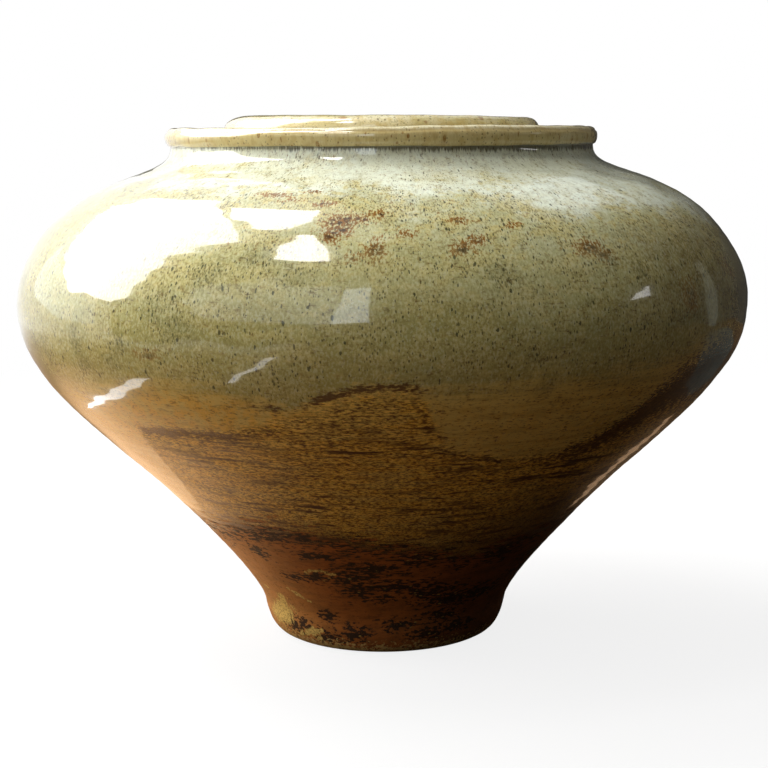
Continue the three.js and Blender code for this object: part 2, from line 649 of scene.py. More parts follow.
class Flecks(Effect):
    """Separate flecks, one at most to a cell of the pattern space. Density is the share of full cells."""

    name = "iron_flecks"
    takes = {"Vector": VECTOR, "Density": FLOAT, "Size": FLOAT}
    gives = FLOAT
    wobble_scale = 1.7
    wobble_reach = (0.45, 0.45, 0.45)
    smallest = 0.45
    spread_of_sizes = 0.7
    soft_edge = 0.16

    def wire(self, graph: Graph, given: dict[str, Socket]) -> Socket:
        """See Effect.wire."""
        inputs = {"Vector": given["Vector"], "Scale": self.wobble_scale, "Detail": 1.0}
        wobble = graph.node("ShaderNodeTexNoise", inputs).outputs[1]
        bent = graph.vector("MULTIPLY_ADD", {0: wobble, 1: self.wobble_reach, 2: given["Vector"]})
        cells = graph.node("ShaderNodeTexVoronoi", {"Vector": bent, "Scale": 1.0}).outputs
        draw = graph.node("ShaderNodeSeparateColor", {0: cells["Color"]}).outputs
        there = graph.math("LESS_THAN", draw[0], given["Density"])
        reach = graph.times(given["Size"], graph.scaled(draw[1], self.spread_of_sizes, self.smallest))
        inside = graph.minus(reach, cells["Distance"])
        return graph.times(graph.rise(inside, 0.0, self.soft_edge), there)


class RaggedEdge(Effect):
    """A soft, ragged border: 0 where Depth is well below 0 and 1 well above it."""

    name = "ragged_edge"
    takes = {"Depth": FLOAT, "Noise": FLOAT, "Ragged": FLOAT, "Soft": FLOAT}
    gives = FLOAT

    def wire(self, graph: Graph, given: dict[str, Socket]) -> Socket:
        """See Effect.wire."""
        pushed = graph.scaled(graph.minus(given["Noise"], 0.5), given["Ragged"], given["Depth"])
        return graph.rise(graph.math("DIVIDE", pushed, given["Soft"]), -1.0, 1.0)


GRAIN, CLOUDS, FLECKS, RAGGED_EDGE = Grain(), Clouds(), Flecks(), RaggedEdge()


class Surface:
    """What the finishes of a turned piece start from: a new material, and the piece's own coordinates.

    Args:
        name: the material's name.
        radius: the piece's radius where its patterns have their true width.
    """

    def __init__(self, name: str, radius: float = 0.165) -> None:
        self.radius = radius
        self.turned = True
        self.material = bpy.data.materials.new(name)
        self.material.use_nodes = True
        self.graph = Graph(self.material.node_tree)
        self.shader = self.material.node_tree.nodes["Principled BSDF"]
        self.position = self.graph.node("ShaderNodeTexCoord").outputs["Object"]
        self.across, _, self.height = self.graph.parts(self.position)
        self.run = self.graph.attribute("run")

    def where_radius_is(self, radius: float) -> "Surface":
        """The same surface, with its patterns at their true width at another radius."""
        other = copy.copy(self)
        other.radius = radius
        return other

    def alike_all_ways(self) -> "Surface":
        """The same surface, with patterns alike in all directions, for faces that reach the axis."""
        other = copy.copy(self)
        other.turned = False
        return other

    def grain(self, across: float, along: float) -> Socket:
        """Pattern space with cells of that many millimetres round the piece and along its wall."""
        if not self.turned:
            share = 1.0 / (math.sqrt(across * along) * MM)
            return self.graph.vector("SCALE", {0: self.position, "Scale": share})
        inputs = {"Position": self.position, "Run": self.run, "Radius": self.radius}
        return GRAIN.place(self.graph, {**inputs, "Across": across * MM, "Along": along * MM})

    def clouds(
        self, across: float, along: float, detail: float, contrast: float, shift: float = 0.0
    ) -> Socket:
        """Soft patches of that many millimetres, from 0 to 1."""
        inputs = {"Vector": self.grain(across, along), "Detail": detail}
        return CLOUDS.place(self.graph, {**inputs, "Contrast": contrast, "Shift": shift})

    def flecks(self, across: float, along: float, density: Value, size: float) -> Socket:
        """Flecks in cells of that many millimetres."""
        inputs = {"Vector": self.grain(across, along), "Density": density, "Size": size}
        return FLECKS.place(self.graph, inputs)

    def edge(self, depth: Value, noise: Value, ragged: float, soft: Value) -> Socket:
        """A ragged border. Ragged and soft are in the depth's own units."""
        inputs = {"Depth": depth, "Noise": noise, "Ragged": ragged, "Soft": soft}
        return RAGGED_EDGE.place(self.graph, inputs)

    def patches(self, name: str, noise: Value, ragged: float, soft: float) -> Socket:
        """The marks painted under a name, with ragged borders."""
        return self.edge(self.graph.minus(self.graph.attribute(name), 0.5), noise, ragged, soft)

    def relief(self, height: Value, depth: float) -> Socket:
        """A normal that shows small relief of that depth in millimetres."""
        inputs = {"Height": height, "Distance": depth * MM, "Strength": 1.0}
        return self.graph.node("ShaderNodeBump", inputs).outputs[0]

    def finished(self, inputs: dict[str, Value]) -> bpy.types.Material:
        """Links or sets the shader's inputs, by their names, and gives the material."""
        for name, value in inputs.items():
            self.graph.feed(self.shader.inputs[name], value)
        return self.material


# Finishes


@dataclass(frozen=True)
class AshGlaze:
    """The jar's outside: celadon ash glaze, a thin khaki film and streaked brown below, then bare clay."""

    neck: Colour = (0.81, 0.845, 0.655)
    collar: Colour = (0.81, 0.85, 0.68)
    shoulder: Colour = (0.53, 0.515, 0.275)
    bulge: Colour = (0.50, 0.47, 0.21)
    belly: Colour = (0.39, 0.355, 0.125)
    below_belly: Colour = (0.38, 0.32, 0.085)
    # Painted shade: the darker brown laid over the right of the shoulder and belly.
    dusk: Colour = (0.20, 0.145, 0.040)
    straw: Colour = (0.61, 0.51, 0.19)
    fleck: Colour = (0.050, 0.052, 0.026)
    moss: Colour = (0.13, 0.14, 0.065)
    film: Colour = (0.69, 0.51, 0.145)
    film_deep: Colour = (0.43, 0.28, 0.055)
    ochre: Colour = (0.75, 0.43, 0.060)
    umber: Colour = (0.080, 0.028, 0.005)
    gold: Colour = (0.92, 0.60, 0.12)
    clay: Colour = (0.33, 0.102, 0.019)
    # Dark of the scorch marks, and of the painted shade low on the right of the bare clay.
    scorch_and_shade_dark: Colour = (0.026, 0.014, 0.008)
    rust: Colour = (0.27, 0.115, 0.020)
    iron: Colour = (0.055, 0.024, 0.009)
    splash: Colour = (0.66, 0.45, 0.12)
    # Painted light: the lighter tan laid over the bare clay on the left.
    painted_light_tan: Colour = (0.52, 0.26, 0.07)
    sand: Colour = (0.62, 0.42, 0.15)
    rim: Colour = (0.80, 0.74, 0.47)
    rim_low: Colour = (0.66, 0.55, 0.24)
    rim_thin: Colour = (0.50, 0.34, 0.11)
    # Dark drips under the rim, and the rim's painted shadow.
    drips_and_rim_shadow: Colour = (0.075, 0.060, 0.028)

    foot_radius: float = 0.085
    cone_radius: float = 0.145
    sand_height: float = 4.5

    def material(self) -> bpy.types.Material:
        """Builds the finish."""
        s = Surface("ash_glaze")
        lower, foot = s.where_radius_is(self.cone_radius), s.where_radius_is(self.foot_radius)
        g = s.graph
        pepper = s.clouds(0.9, 1.7, detail=2.0, contrast=3.6)
        mottle = s.clouds(5.0, 7.0, detail=3.0, contrast=2.6, shift=7.0)
        streak = lower.clouds(24.0, 3.2, detail=4.0, contrast=3.4, shift=11.0)
        dash = lower.clouds(2.3, 0.98, detail=5.0, contrast=4.0, shift=17.0)
        upper = self.upper(s, pepper, mottle)
        film = self.thin_film(lower, streak, dash, mottle)
        brown = self.brown(lower, streak, dash)
        clay = self.bare(foot, streak)
        ragged = g.between(0.5, streak, mottle)
        glazed = s.edge(g.millimetres("above_dip"), ragged, 12.0, g.millimetres("softness"))
        filmed = s.edge(g.millimetres("above_film"), g.between(0.5, streak, dash), 10.0, 2.4)
        browned = s.edge(g.millimetres("above_clay"), g.between(0.4, streak, dash), 26.0, 3.0)
        colour = g.blend(browned, clay, brown)
        colour = g.blend(filmed, colour, film)
        colour = g.blend(glazed, colour, upper)
        lined = s.patches("line", g.between(0.6, mottle, dash), 1.2, 0.34)
        colour = g.over(colour, self.umber, lined, 0.92)
        colour = self.spots(s, colour, mottle, pepper, dash)
        colour = self.rim_glaze(s, colour, pepper, mottle)
        gloss = g.between(browned, 0.52, g.between(filmed, 0.34, g.between(glazed, 0.24, 0.18)))
        soft = s.clouds(7.0, 7.0, detail=1.0, contrast=1.0, shift=23.0)
        grit = s.clouds(0.8, 0.8, detail=2.0, contrast=1.0, shift=29.0)
        peel = g.plus(g.times(soft, 0.10), g.times(grit, g.between(browned, 0.12, 0.012)))
        return s.finished({
            "Base Color": colour,
            "Roughness": g.plus(gloss, g.times(g.minus(mottle, 0.5), 0.10)),
            "Coat Weight": g.between(browned, 0.06, g.between(filmed, 0.55, 1.0)),
            "Coat Roughness": 0.045,
            "Coat IOR": 1.5,
            "Specular IOR Level": 0.18,
            "Normal": s.relief(peel, 1.0),
        })

    def upper(self, s: Surface, pepper: Socket, mottle: Socket) -> Socket:
        """The celadon's colour: pale and grey-green at the neck, straw and olive below, with iron flecks.

        Args:
            s: the surface.
            pepper: its finest mottling.
            mottle: its middling mottling.

        Returns:
            The colour.
        """
        g = s.graph
        cloud = s.clouds(38.0, 26.0, detail=3.0, contrast=2.6, shift=3.0)
        # The pale mask moves the tones along the ramp: painted light, the shoulder paler to the right and
        # darker to the left.
        drift = g.scaled(g.minus(cloud, 0.5), 0.026, g.plus(s.height, g.attribute("pale")))
        heights = {"From Min": 0.14, "From Max": 0.28}
        level = g.node("ShaderNodeMapRange", {"Value": drift, **heights}).outputs[0]
        colour = g.ramp(level, [
            (0.05, self.below_belly),
            (0.33, self.belly),
            (0.53, self.bulge),
            (0.70, self.shoulder),
            (0.84, self.collar),
            (0.95, self.neck),
        ])
        crowds = ((0.05, 0.34), (0.40, 0.36), (0.56, 0.44), (0.75, 0.74), (0.83, 0.24), (0.90, 0.05))
        crowd = g.ramp(level, [(place, (share, share, share)) for place, share in crowds])
        patchy = s.clouds(17.0, 12.0, detail=4.0, contrast=3.4, shift=31.0)
        clustered = g.times(g.rise(g.attribute("green"), 0.15, 0.8), 0.50)
        colour = g.tinge(colour, self.straw, patchy, 0.30, 0.85, g.scaled(crowd, 0.7, 0.08))
        dabs = s.clouds(5.5, 4.5, detail=4.0, contrast=4.2, shift=67.0)
        colour = g.tinge(colour, self.straw, dabs, 0.50, 1.0, crowd)
        crowd = g.plus(g.times(crowd, g.scaled(patchy, 1.5, 0.20)), clustered)
        colour = g.tinge(colour, self.below_belly, mottle, 0.45, 0.85, 0.20)
        # Painted shade: the right of the shoulder and belly darker and browner.
        colour = g.over(colour, self.dusk, g.attribute("dusk"), g.between(mottle, 0.40, 0.85))
        colour = g.tinge(colour, self.fleck, pepper, 0.50, 0.95, g.scaled(crowd, 0.34, 0.10))
        colour = g.tinge(colour, self.neck, pepper, 0.45, 0.05, 0.20)
        colour = g.over(colour, self.fleck, s.flecks(0.95, 2.3, crowd, 0.42), 0.72)
        return g.over(colour, self.fleck, s.flecks(1.5, 3.3, g.times(crowd, 0.30), 0.42), 0.84)

    def thin_film(self, s: Surface, streak: Socket, dash: Socket, mottle: Socket) -> Socket:
        """The thin khaki film under the celadon, finely speckled and warmer to the left.

        Args:
            s: the surface.
            streak: long streaks round the jar.
            dash: short dashes round the jar.
            mottle: middling mottling.

        Returns:
            The colour.
        """
        g = s.graph
        colour = g.tinge(self.film, self.film_deep, streak, 0.35, 0.85, 0.50)
        warmer = g.rise(s.across, 0.02, -0.06, 0.25, 0.80)
        colour = g.tinge(colour, self.ochre, mottle, 0.20, 0.80, warmer)
        colour = g.tinge(colour, self.umber, dash, 0.60, 1.0, 0.40)
        return g.over(colour, self.umber, s.flecks(1.3, 1.5, 0.34, 0.38), 0.50)

    def brown(self, s: Surface, streak: Socket, dash: Socket) -> Socket:
        """The golden brown where the glaze runs out, combed with dark dashes, darker low down, and with
        painted shade low on its right.

        Args:
            s: the surface.
            streak: long streaks round the jar.
            dash: short dashes round the jar.

        Returns:
            The colour.
        """
        g = s.graph
        olive = s.clouds(13.0, 4.4, detail=4.0, contrast=3.6, shift=43.0)
        colour = g.tinge(self.ochre, self.film_deep, olive, 0.40, 0.90, 0.75)
        khaki = s.clouds(26.0, 9.0, detail=3.0, contrast=3.4, shift=83.0)
        colour = g.tinge(colour, self.film, khaki, 0.54, 0.90, 0.55)
        colour = g.tinge(colour, self.gold, dash, 0.48, 0.12, 0.90)
        bands = s.clouds(45.0, 9.0, detail=4.0, contrast=4.4, shift=61.0)
        colour = g.tinge(colour, self.umber, streak, 0.46, 0.86, g.scaled(bands, 0.95, 0.10))
        fine = s.clouds(1.4, 0.72, detail=2.0, contrast=4.0, shift=47.0)
        colour = g.tinge(colour, self.umber, fine, 0.50, 0.90, 0.50)
        colour = g.tinge(colour, self.umber, dash, 0.48, 0.92, 0.84)
        low = g.times(g.rise(s.height, 0.110, 0.070), 0.22)
        # Darker towards the bottom, and painted shade low on the right.
        return g.blend(g.plus(low, g.times(g.attribute("painted_shade_low_right"), 0.45)), colour, self.umber)

    def bare(self, s: Surface, streak: Socket) -> Socket:
        """The red-brown clay above the foot, with scorch marks, a sandy band along its lowest edge,
        painted shade low on the right and painted light on the left.

        Args:
            s: the surface.
            streak: long streaks round the jar.

        Returns:
            The colour.
        """
        g = s.graph
        colour = g.tinge(self.clay, self.umber, streak, 0.4, 0.9, 0.35)
        haze = s.clouds(22.0, 9.0, detail=3.0, contrast=2.6, shift=53.0)
        colour = g.tinge(colour, self.umber, haze, 0.45, 0.9, 0.35)
        # Painted shade low on the right of the bare clay.
        colour = g.over(colour, self.scorch_and_shade_dark, g.attribute("painted_shade_low_right"), 0.45)
        # Painted light: the bare clay lighter and tan on the left.
        colour = g.over(colour, self.painted_light_tan, g.attribute("painted_light_left"), 0.55)
        lichen = s.clouds(3.6, 1.5, detail=5.0, contrast=4.6, shift=37.0)
        colour = g.over(colour, self.scorch_and_shade_dark, s.patches("scorch", lichen, 0.95, 0.12), 0.97)
        dense = g.times(g.rise(g.attribute("scorch"), 0.3, 0.9), 0.34)
        colour = g.over(colour, self.splash, s.flecks(3.4, 1.3, dense, 0.36), 0.60)
        colour = g.over(colour, self.scorch_and_shade_dark, s.flecks(5.0, 2.0, 0.20, 0.34), 0.80)
        grainy = s.clouds(2.2, 1.4, detail=3.0, contrast=3.0, shift=59.0)
        sandy = s.edge(g.minus(self.sand_height, g.times(s.height, 1.0 / MM)), grainy, 9.0, 1.2)
        colour = g.over(colour, self.sand, sandy, 0.86)
        return g.over(colour, self.scorch_and_shade_dark, s.flecks(2.6, 1.4, g.times(sandy, 0.45), 0.44), 0.85)

    def spots(self, s: Surface, colour: Socket, mottle: Socket, pepper: Socket, dash: Socket) -> Socket:
        """Adds the rust and moss-green spots on the shoulder and the splashes of glaze near the foot.

        Args:
            s: the surface.
            colour: the colour so far.
            mottle: middling mottling.
            pepper: the finest mottling.
            dash: short dashes round the jar.

        Returns:
            The colour.
        """
        g = s.graph
        mossy = s.patches("green", g.between(0.5, pepper, mottle), 0.8, 0.5)
        colour = g.over(colour, self.moss, mossy, 0.28)
        blotch = s.clouds(2.6, 2.0, detail=4.0, contrast=3.6, shift=71.0)
        rusty = s.patches("rust", g.between(0.62, blotch, pepper), 1.15, 0.26)
        cores = g.rise(g.attribute("rust"), 0.46, 0.80)
        warm = g.over(self.rust, self.iron, cores, g.rise(blotch, 0.28, 0.62))
        fuller_above = g.scaled(g.rise(s.height, 0.215, 0.232), 0.48, 0.48)
        colour = g.over(colour, warm, rusty, fuller_above)
        yellow = g.tinge(self.splash, self.iron, dash, 0.50, 0.85, 0.60)
        yellow = g.tinge(yellow, self.iron, pepper, 0.55, 0.85, 0.40)
        return g.over(colour, yellow, s.patches("splash", mottle, 0.45, 0.07), 0.94)

    def rim_glaze(self, s: Surface, colour: Socket, pepper: Socket, mottle: Socket) -> Socket:
        """Adds the rim, where the glaze runs thin and ochre, and the dark band under it: dark drips of
        glaze and the rim's painted shadow.

        Args:
            s: the surface.
            colour: the colour so far.
            pepper: the finest mottling.
            mottle: middling mottling.

        Returns:
            The colour.
        """
        g = s.graph
        below, low = g.millimetres("below_rim"), g.attribute("rim_low")
        drips = s.clouds(1.5, 30.0, detail=3.0, contrast=3.4, shift=41.0)
        # Dark drips of glaze under the rim together with the rim's painted shadow, wider to the right.
        hanging = s.edge(g.minus(g.millimetres("drips_and_rim_shadow"), below), drips, 2.2, 0.9)
        colour = g.over(colour, self.drips_and_rim_shadow, hanging, 0.78)
        tone = g.over(self.rim, self.rim_low, low, 0.85)
        tone = g.tinge(tone, self.rim_thin, mottle, 0.40, 0.85, 0.45)
        stains = s.flecks(3.6, 6.0, g.scaled(low, 0.26, 0.06), 0.38)
        tone = g.over(tone, self.rust, stains, g.scaled(pepper, 0.5, 0.45))
        runs = s.clouds(2.0, 9.0, detail=3.0, contrast=3.4, shift=97.0)
        tone = g.tinge(tone, self.rust, runs, 0.60, 0.95, 0.14)
        # Darker, ochre along the rim's crease.
        tone = g.over(tone, self.rim_thin, g.attribute("crease"), g.between(runs, 0.42, 0.62))
        tone = g.over(tone, self.iron, s.flecks(1.7, 1.5, 0.40, 0.44), 0.55)
        tone = g.tinge(tone, self.rim_thin, g.attribute("bend"), 0.25, 0.7, g.times(pepper, 0.4))
        return g.blend(g.rise(below, 0.0, -0.9), colour, tone)


@dataclass(frozen=True)
class LiningGlaze:
    """The jar's inside: a thin, even brown-olive glaze over the throwing rings."""

    thick: Colour = (0.20, 0.155, 0.06)
    thin: Colour = (0.27, 0.15, 0.045)
    fleck: Colour = (0.05, 0.03, 0.012)

    def material(self) -> bpy.types.Material:
        """Builds the finish."""
        turned = Surface("lining_glaze")
        s = turned.alike_all_ways()
        g = s.graph
        cloud = s.clouds(30.0, 18.0, detail=3.0, contrast=2.4)
        ring = turned.clouds(160.0, 3.2, detail=2.0, contrast=2.0, shift=5.0)
        colour = g.blend(g.between(0.5, cloud, ring), self.thick, self.thin)
        return s.finished({
            "Base Color": g.over(colour, self.fleck, s.flecks(1.6, 2.2, 0.30, 0.40), 0.6),
            "Roughness": g.between(cloud, 0.20, 0.34),
            "Coat Weight": 0.5,
            "Coat Roughness": 0.08,
            "Normal": s.relief(s.clouds(6.0, 6.0, detail=2.0, contrast=1.0, shift=9.0), 0.12),
        })


@dataclass(frozen=True)
class BareClay:
    """Unglazed fired clay, on the foot and wherever jar and lid touch: gritty, with fine turning marks."""

    body: Colour = (0.30, 0.145, 0.065)
    flashed: Colour = (0.20, 0.075, 0.028)
    grit: Colour = (0.46, 0.34, 0.20)
    iron: Colour = (0.06, 0.03, 0.015)

    def material(self) -> bpy.types.Material:
        """Builds the finish."""
        turned = Surface("bare_clay")
        s = turned.alike_all_ways()
        g = s.graph
        noise = {"Vector": s.position, "Scale": 40.0, "Detail": 4.0}
        tone = g.node("ShaderNodeTexNoise", noise).outputs[0]
        colour = g.blend(g.rise(tone, 0.35, 0.7), self.body, self.flashed)
        colour = g.over(colour, self.grit, s.flecks(1.2, 1.2, 0.35, 0.42), 0.55)
        grooves = turned.clouds(400.0, 1.1, detail=2.0, contrast=1.6, shift=13.0)
        sand = s.clouds(0.8, 0.8, detail=2.0, contrast=1.4, shift=19.0)
        return s.finished({
            "Base Color": g.over(colour, self.iron, s.flecks(1.9, 1.9, 0.20, 0.38), 0.8),
            "Roughness": g.between(tone, 0.62, 0.86),
            "Specular IOR Level": 0.3,
            "Normal": s.relief(g.between(0.5, grooves, sand), 0.22),
        })


@dataclass(frozen=True)
class LidGlaze:
    """The lid's top: cream glaze that breaks to ochre and rust along the rolled edge."""

    cream: Colour = (0.85, 0.80, 0.54)
    olive: Colour = (0.66, 0.60, 0.32)
    ochre: Colour = (0.60, 0.45, 0.17)
    rust: Colour = (0.30, 0.12, 0.03)
    fleck: Colour = (0.10, 0.065, 0.025)

    def material(self) -> bpy.types.Material:
        """Builds the finish."""
        s = Surface("lid_glaze").alike_all_ways()
        g = s.graph
        pepper = s.clouds(1.0, 1.6, detail=2.0, contrast=3.0)
        mottle = s.clouds(6.0, 4.0, detail=3.0, contrast=2.6, shift=7.0)
        cloud = s.clouds(30.0, 20.0, detail=2.0, contrast=2.4, shift=3.0)
        colour = g.blend(g.rise(cloud, 0.3, 0.8), self.cream, self.olive)
        colour = g.tinge(colour, self.ochre, mottle, 0.4, 0.85, 0.55)
        colour = g.tinge(colour, self.fleck, pepper, 0.55, 0.9, 0.35)
        thin = g.times(g.rise(g.attribute("bend"), 0.1, 0.6), g.between(mottle, 0.6, 1.0))
        colour = g.over(colour, self.ochre, thin, 0.75)
        colour = g.over(colour, self.rust, s.flecks(6.0, 3.6, g.scaled(thin, 0.40, 0.12), 0.42), 0.6)
        return s.finished({
            "Base Color": g.over(colour, self.fleck, s.flecks(1.5, 1.8, 0.40, 0.42), 0.6),
            "Roughness": g.between(mottle, 0.14, 0.26),
            "Coat Weight": 1.0,
            "Coat Roughness": 0.05,
            "Specular IOR Level": 0.35,
            "Normal": s.relief(s.clouds(5.0, 5.0, detail=2.0, contrast=1.0, shift=23.0), 0.10),
        })


# The jar and its lid


@dataclass
class Jar:
    """The vessel: a narrow foot, an opening cone, a wide belly, a flat shoulder and a rolled rim."""

    belly_radius: float
    rim_height: float
    heel_radius: float = 68.7 * MM
    heel_height: float = 17.1 * MM
    cone_radius: float = 125.9 * MM
    cone_height: float = 88.4 * MM
    belly_drop: float = 95.0 * MM
    shoulder_spread: float = 35.5 * MM
    shoulder_drop: float = 30.6 * MM
    neck_radius: float = 116.2 * MM
    heel_lean: float = 9.7
    cone_lean: float = 44.7
    shoulder_lean: float = -65.6
    heel_tuck: float = 10.7 * MM
    foot_ring_width: float = 9.0 * MM
    foot_recess: float = 6.0 * MM
    recess_slope: float = 3.0 * MM
    floor_thickness: float = 10.0 * MM
    floor_corner: float = 33.0 * MM
    wall: float = 8.0 * MM
    rim_roll: float = 5.0 * MM
    rim_overhang: float = 2.5 * MM
    neck_undercut: float = 0.8 * MM
    gallery_width: float = 20.7 * MM
    gallery_depth: float = 5.0 * MM
    ledge_width: float = 18.0 * MM
    ledge_thickness: float = 8.0 * MM
    lip_round: float = 2.5 * MM
    ring_pitch: float = 7.5 * MM
    ring_depth: float = 0.045 * MM
    ring_depth_inside: float = 0.225 * MM
    rings_fade_at_foot: float = 9.0 * MM
    rings_fade_at_neck: float = 4.0 * MM
    rim_crease: float = 4.7 * MM
    crease_depth: float = 0.38 * MM
    crease_width: float = 0.8 * MM
    crease_dark_width: float = 0.9 * MM
    low_roll_place: float = 3.2 * MM
    low_roll_width: float = 2.2 * MM
    low_roll_depth: float = 0.15 * MM
    low_roll_slant: float = 0.25 * MM
    rim_low_edge: float = 1.2 * MM
    # How far the painted light moves the shoulder's tones: paler to the right, darker to the left.
    painted_light_drift: float = 9.0 * MM
    dip_line_drop: float = 0.8 * MM
    dip_line_width: float = 2.1 * MM
    scorched_drop: float = 3.0 * MM
    scorched_width: float = 9.0 * MM
    scorched_share: float = 0.60

    broad = Waves(0.28 * MM, (1, 4), (90 * MM, 400 * MM), 8, 11)
    lumps = Waves(0.10 * MM, (5, 24), (18 * MM, 70 * MM), 22, 12)
    crease_wander = Waves(0.25 * MM, (2, 9), (900 * MM, 999 * MM), 6, 13)

    dip = Tide((
        (-180, 158), (-150, 150), (-120, 162), (-95, 157), (-75, 150), (-58, 149), (-50, 151), (-42, 158),
        (-36, 164), (-28, 163), (-20, 158), (-13, 154.6), (-7, 162.6), (-3, 166.5), (3.4, 167.2),
        (5.4, 164.7), (7.4, 162), (10, 163), (20, 165), (30, 165), (40, 166), (48, 170), (58, 175),
        (72, 172), (90, 160), (120, 151), (150, 163),
    ))
    film = Tide((
        (-180, 127), (-150, 134), (-120, 116), (-90, 100), (-72, 84), (-60, 80), (-53, 84), (-48, 100),
        (-45, 120), (-42.5, 137), (-33, 139.5), (-24, 140), (-18, 144), (-13, 150), (-7, 157), (-3, 162),
        (3.4, 163), (5.4, 160), (7.4, 145), (10, 132), (14, 128), (20, 125), (29, 124), (37, 132),
        (43, 145), (49, 160), (58, 168), (72, 166), (90, 149), (120, 134), (150, 129),
    ))
    clay = Tide((
        (-180, 76), (-150, 84), (-115, 72), (-85, 74), (-60, 72), (-48, 76), (-38, 81), (-24, 81),
        (-12, 77), (0, 73), (12, 69), (25, 66), (45, 70), (65, 80), (90, 86), (120, 76), (150, 82),
    ))
    dip_dark = Swing((
        (-60, 0.0), (-19, 0.0), (-17, 0.8), (-15, 0.8), (-13, 0.3), (-11, 0.3), (-9, 0.9), (4, 0.95),
        (6, 0.4), (8, 0.0),
    ))
    film_dark = Swing((
        (-60, 0.0), (-45, 0.1), (-41, 0.95), (-24, 0.85), (-18, 0.2), (7, 0.1), (9, 0.8), (19, 0.8),
        (22, 0.4), (40, 1.0), (60, 1.3),
    ))
    film_line_width = Swing((
        (-60, 3.0), (-20, 3.0), (8, 1.8), (20, 2.0), (30, 5.0), (40, 10.0), (48, 15.0), (64, 17.0),
        (100, 4.0),
    ))
    dip_softness = Swing((
        (-180, 4.0), (-60, 10.0), (-26, 9.0), (-17, 5.0), (-12, 2.4), (5, 2.4), (8, 9.0), (60, 10.0),
        (180, 4.0),
    ))
    # How far the dark drips and the rim's painted shadow reach below the rim, in millimetres: thin on the
    # left, wider to the right.
    drips_and_rim_shadow = Swing(((-90, 0.2), (-50, 0.2), (-10, 1.4), (40, 2.6), (90, 2.0)))
    rust = marks(
        (-6.2, 238.5, 8.0, 4.6, 20), (-3.4, 239.5, 5.0, 2.6), (-7.4, 232.5, 4.6, 4.2),
        (-5.6, 235.2, 4.0, 2.4, -20), (-3.8, 222.8, 3.0, 2.6), (-0.8, 226.4, 3.8, 5.6),
        (-0.3, 241.4, 3.0, 2.4), (-9.3, 246.0, 5.0, 1.8, 10), (11.8, 238.5, 4.0, 2.6),
        (11.2, 226.0, 4.4, 3.6), (13.5, 230.0, 4.0, 2.4), (30.5, 224.6, 7.0, 4.0),
        (33.0, 221.5, 4.4, 3.2), (48.1, 200.4, 5.0, 7.0), (-33.0, 178.0, 7.0, 2.4),
        (-19.0, 249.5, 7.0, 1.6), (-15.0, 247.5, 5.0, 1.4), (20.0, 236.0, 3.0, 2.0),
        (3.5, 233.0, 3.0, 2.0), (-12.0, 251.0, 4.0, 1.4),
    )
    green = marks(
        (-47.8, 180.9, 4.5, 6.0), (-46.8, 168.9, 4.0, 4.0), (-37.9, 181.3, 4.0, 5.0),
        (-58.0, 172.0, 3.0, 9.0, 15), (28.4, 202.2, 3.0, 3.0), (38.4, 213.7, 3.4, 5.0),
        (33.5, 219.1, 4.0, 3.0), (19.9, 179.1, 3.0, 3.6), (22.2, 162.0, 3.6, 3.0),
        (-31.0, 200.0, 9.0, 8.0), (-24.0, 214.0, 8.0, 7.0), (-17.0, 222.0, 9.0, 5.0),
        (-40.0, 172.0, 5.0, 4.0), (-28.0, 190.0, 10.0, 7.0), (-12.0, 214.0, 6.0, 5.0),
        (16.0, 214.0, 7.0, 6.0),
    )
    splash = marks(
        (-56.0, 17.0, 12.5, 7.6, 20), (-50.5, 27.0, 4.0, 4.6), (-35.6, 10.6, 3.4, 3.0),
        (-39.6, 9.0, 2.4, 2.0), (-44.0, 7.0, 2.4, 1.6), (-22.5, 53.0, 5.5, 1.5),
        (-17.5, 51.5, 3.4, 1.1), (-27.0, 50.5, 3.0, 1.2), (-37.6, 33.7, 6.4, 1.5, -35),
        (-34.0, 30.5, 3.4, 1.1, -35), (-59.8, 31.5, 2.4, 1.6), (-31.0, 12.0, 1.6, 1.2),
        (14.0, 73.0, 2.6, 1.6), (-33.0, 6.0, 2.0, 1.2),
    )
    scorch = marks(
        (-36.0, 73.0, 9.0, 4.5), (-25.0, 76.0, 18.0, 6.0), (-10.0, 79.0, 18.0, 6.0),
        (5.0, 74.0, 20.0, 7.0), (22.0, 70.0, 18.0, 7.0), (-33.0, 46.0, 6.0, 2.4),
        (-24.0, 48.0, 9.0, 3.4), (-12.0, 49.0, 13.0, 5.0), (-5.0, 55.0, 14.0, 6.0),
        (-8.0, 42.0, 12.0, 4.6), (4.0, 43.0, 16.0, 5.0), (16.0, 39.0, 15.0, 5.4),
        (-2.0, 36.0, 9.0, 3.0), (28.0, 33.0, 16.0, 5.0), (10.0, 62.0, 12.0, 4.0),
        (40.0, 34.0, 12.0, 5.0), (-48.0, 12.0, 7.0, 5.0), (-41.0, 13.0, 5.0, 4.0),
        (-27.0, 8.0, 9.0, 4.0), (-14.0, 12.0, 6.0, 4.0), (6.3, 18.0, 9.0, 3.0),
        (20.0, 12.0, 9.0, 3.4), (-26.0, 22.0, 4.0, 3.0), (34.0, 14.0, 9.0, 3.0),
        (38.0, 62.0, 14.0, 7.0), (-42.0, 60.0, 5.0, 4.0), (-20.0, 63.0, 10.0, 3.0),
        (24.0, 22.0, 10.0, 3.0),
    )
    unseen_side = (62, 298)
    unseen_sizes = (0.5, 1.4)

    @property
    def crest(self) -> np.ndarray:
        """The top of the rolled rim."""
        return point(self.neck_radius + self.rim_overhang - self.rim_roll, self.rim_height)

    @property
    def ledge(self) -> np.ndarray:
        """The outer edge of the ring that carries the lid."""
        return self.crest - point(self.gallery_width, self.gallery_depth)

    @property
    def throat_radius(self) -> float:
        """The radius of the opening."""
        return self.ledge[0] - self.ledge_width

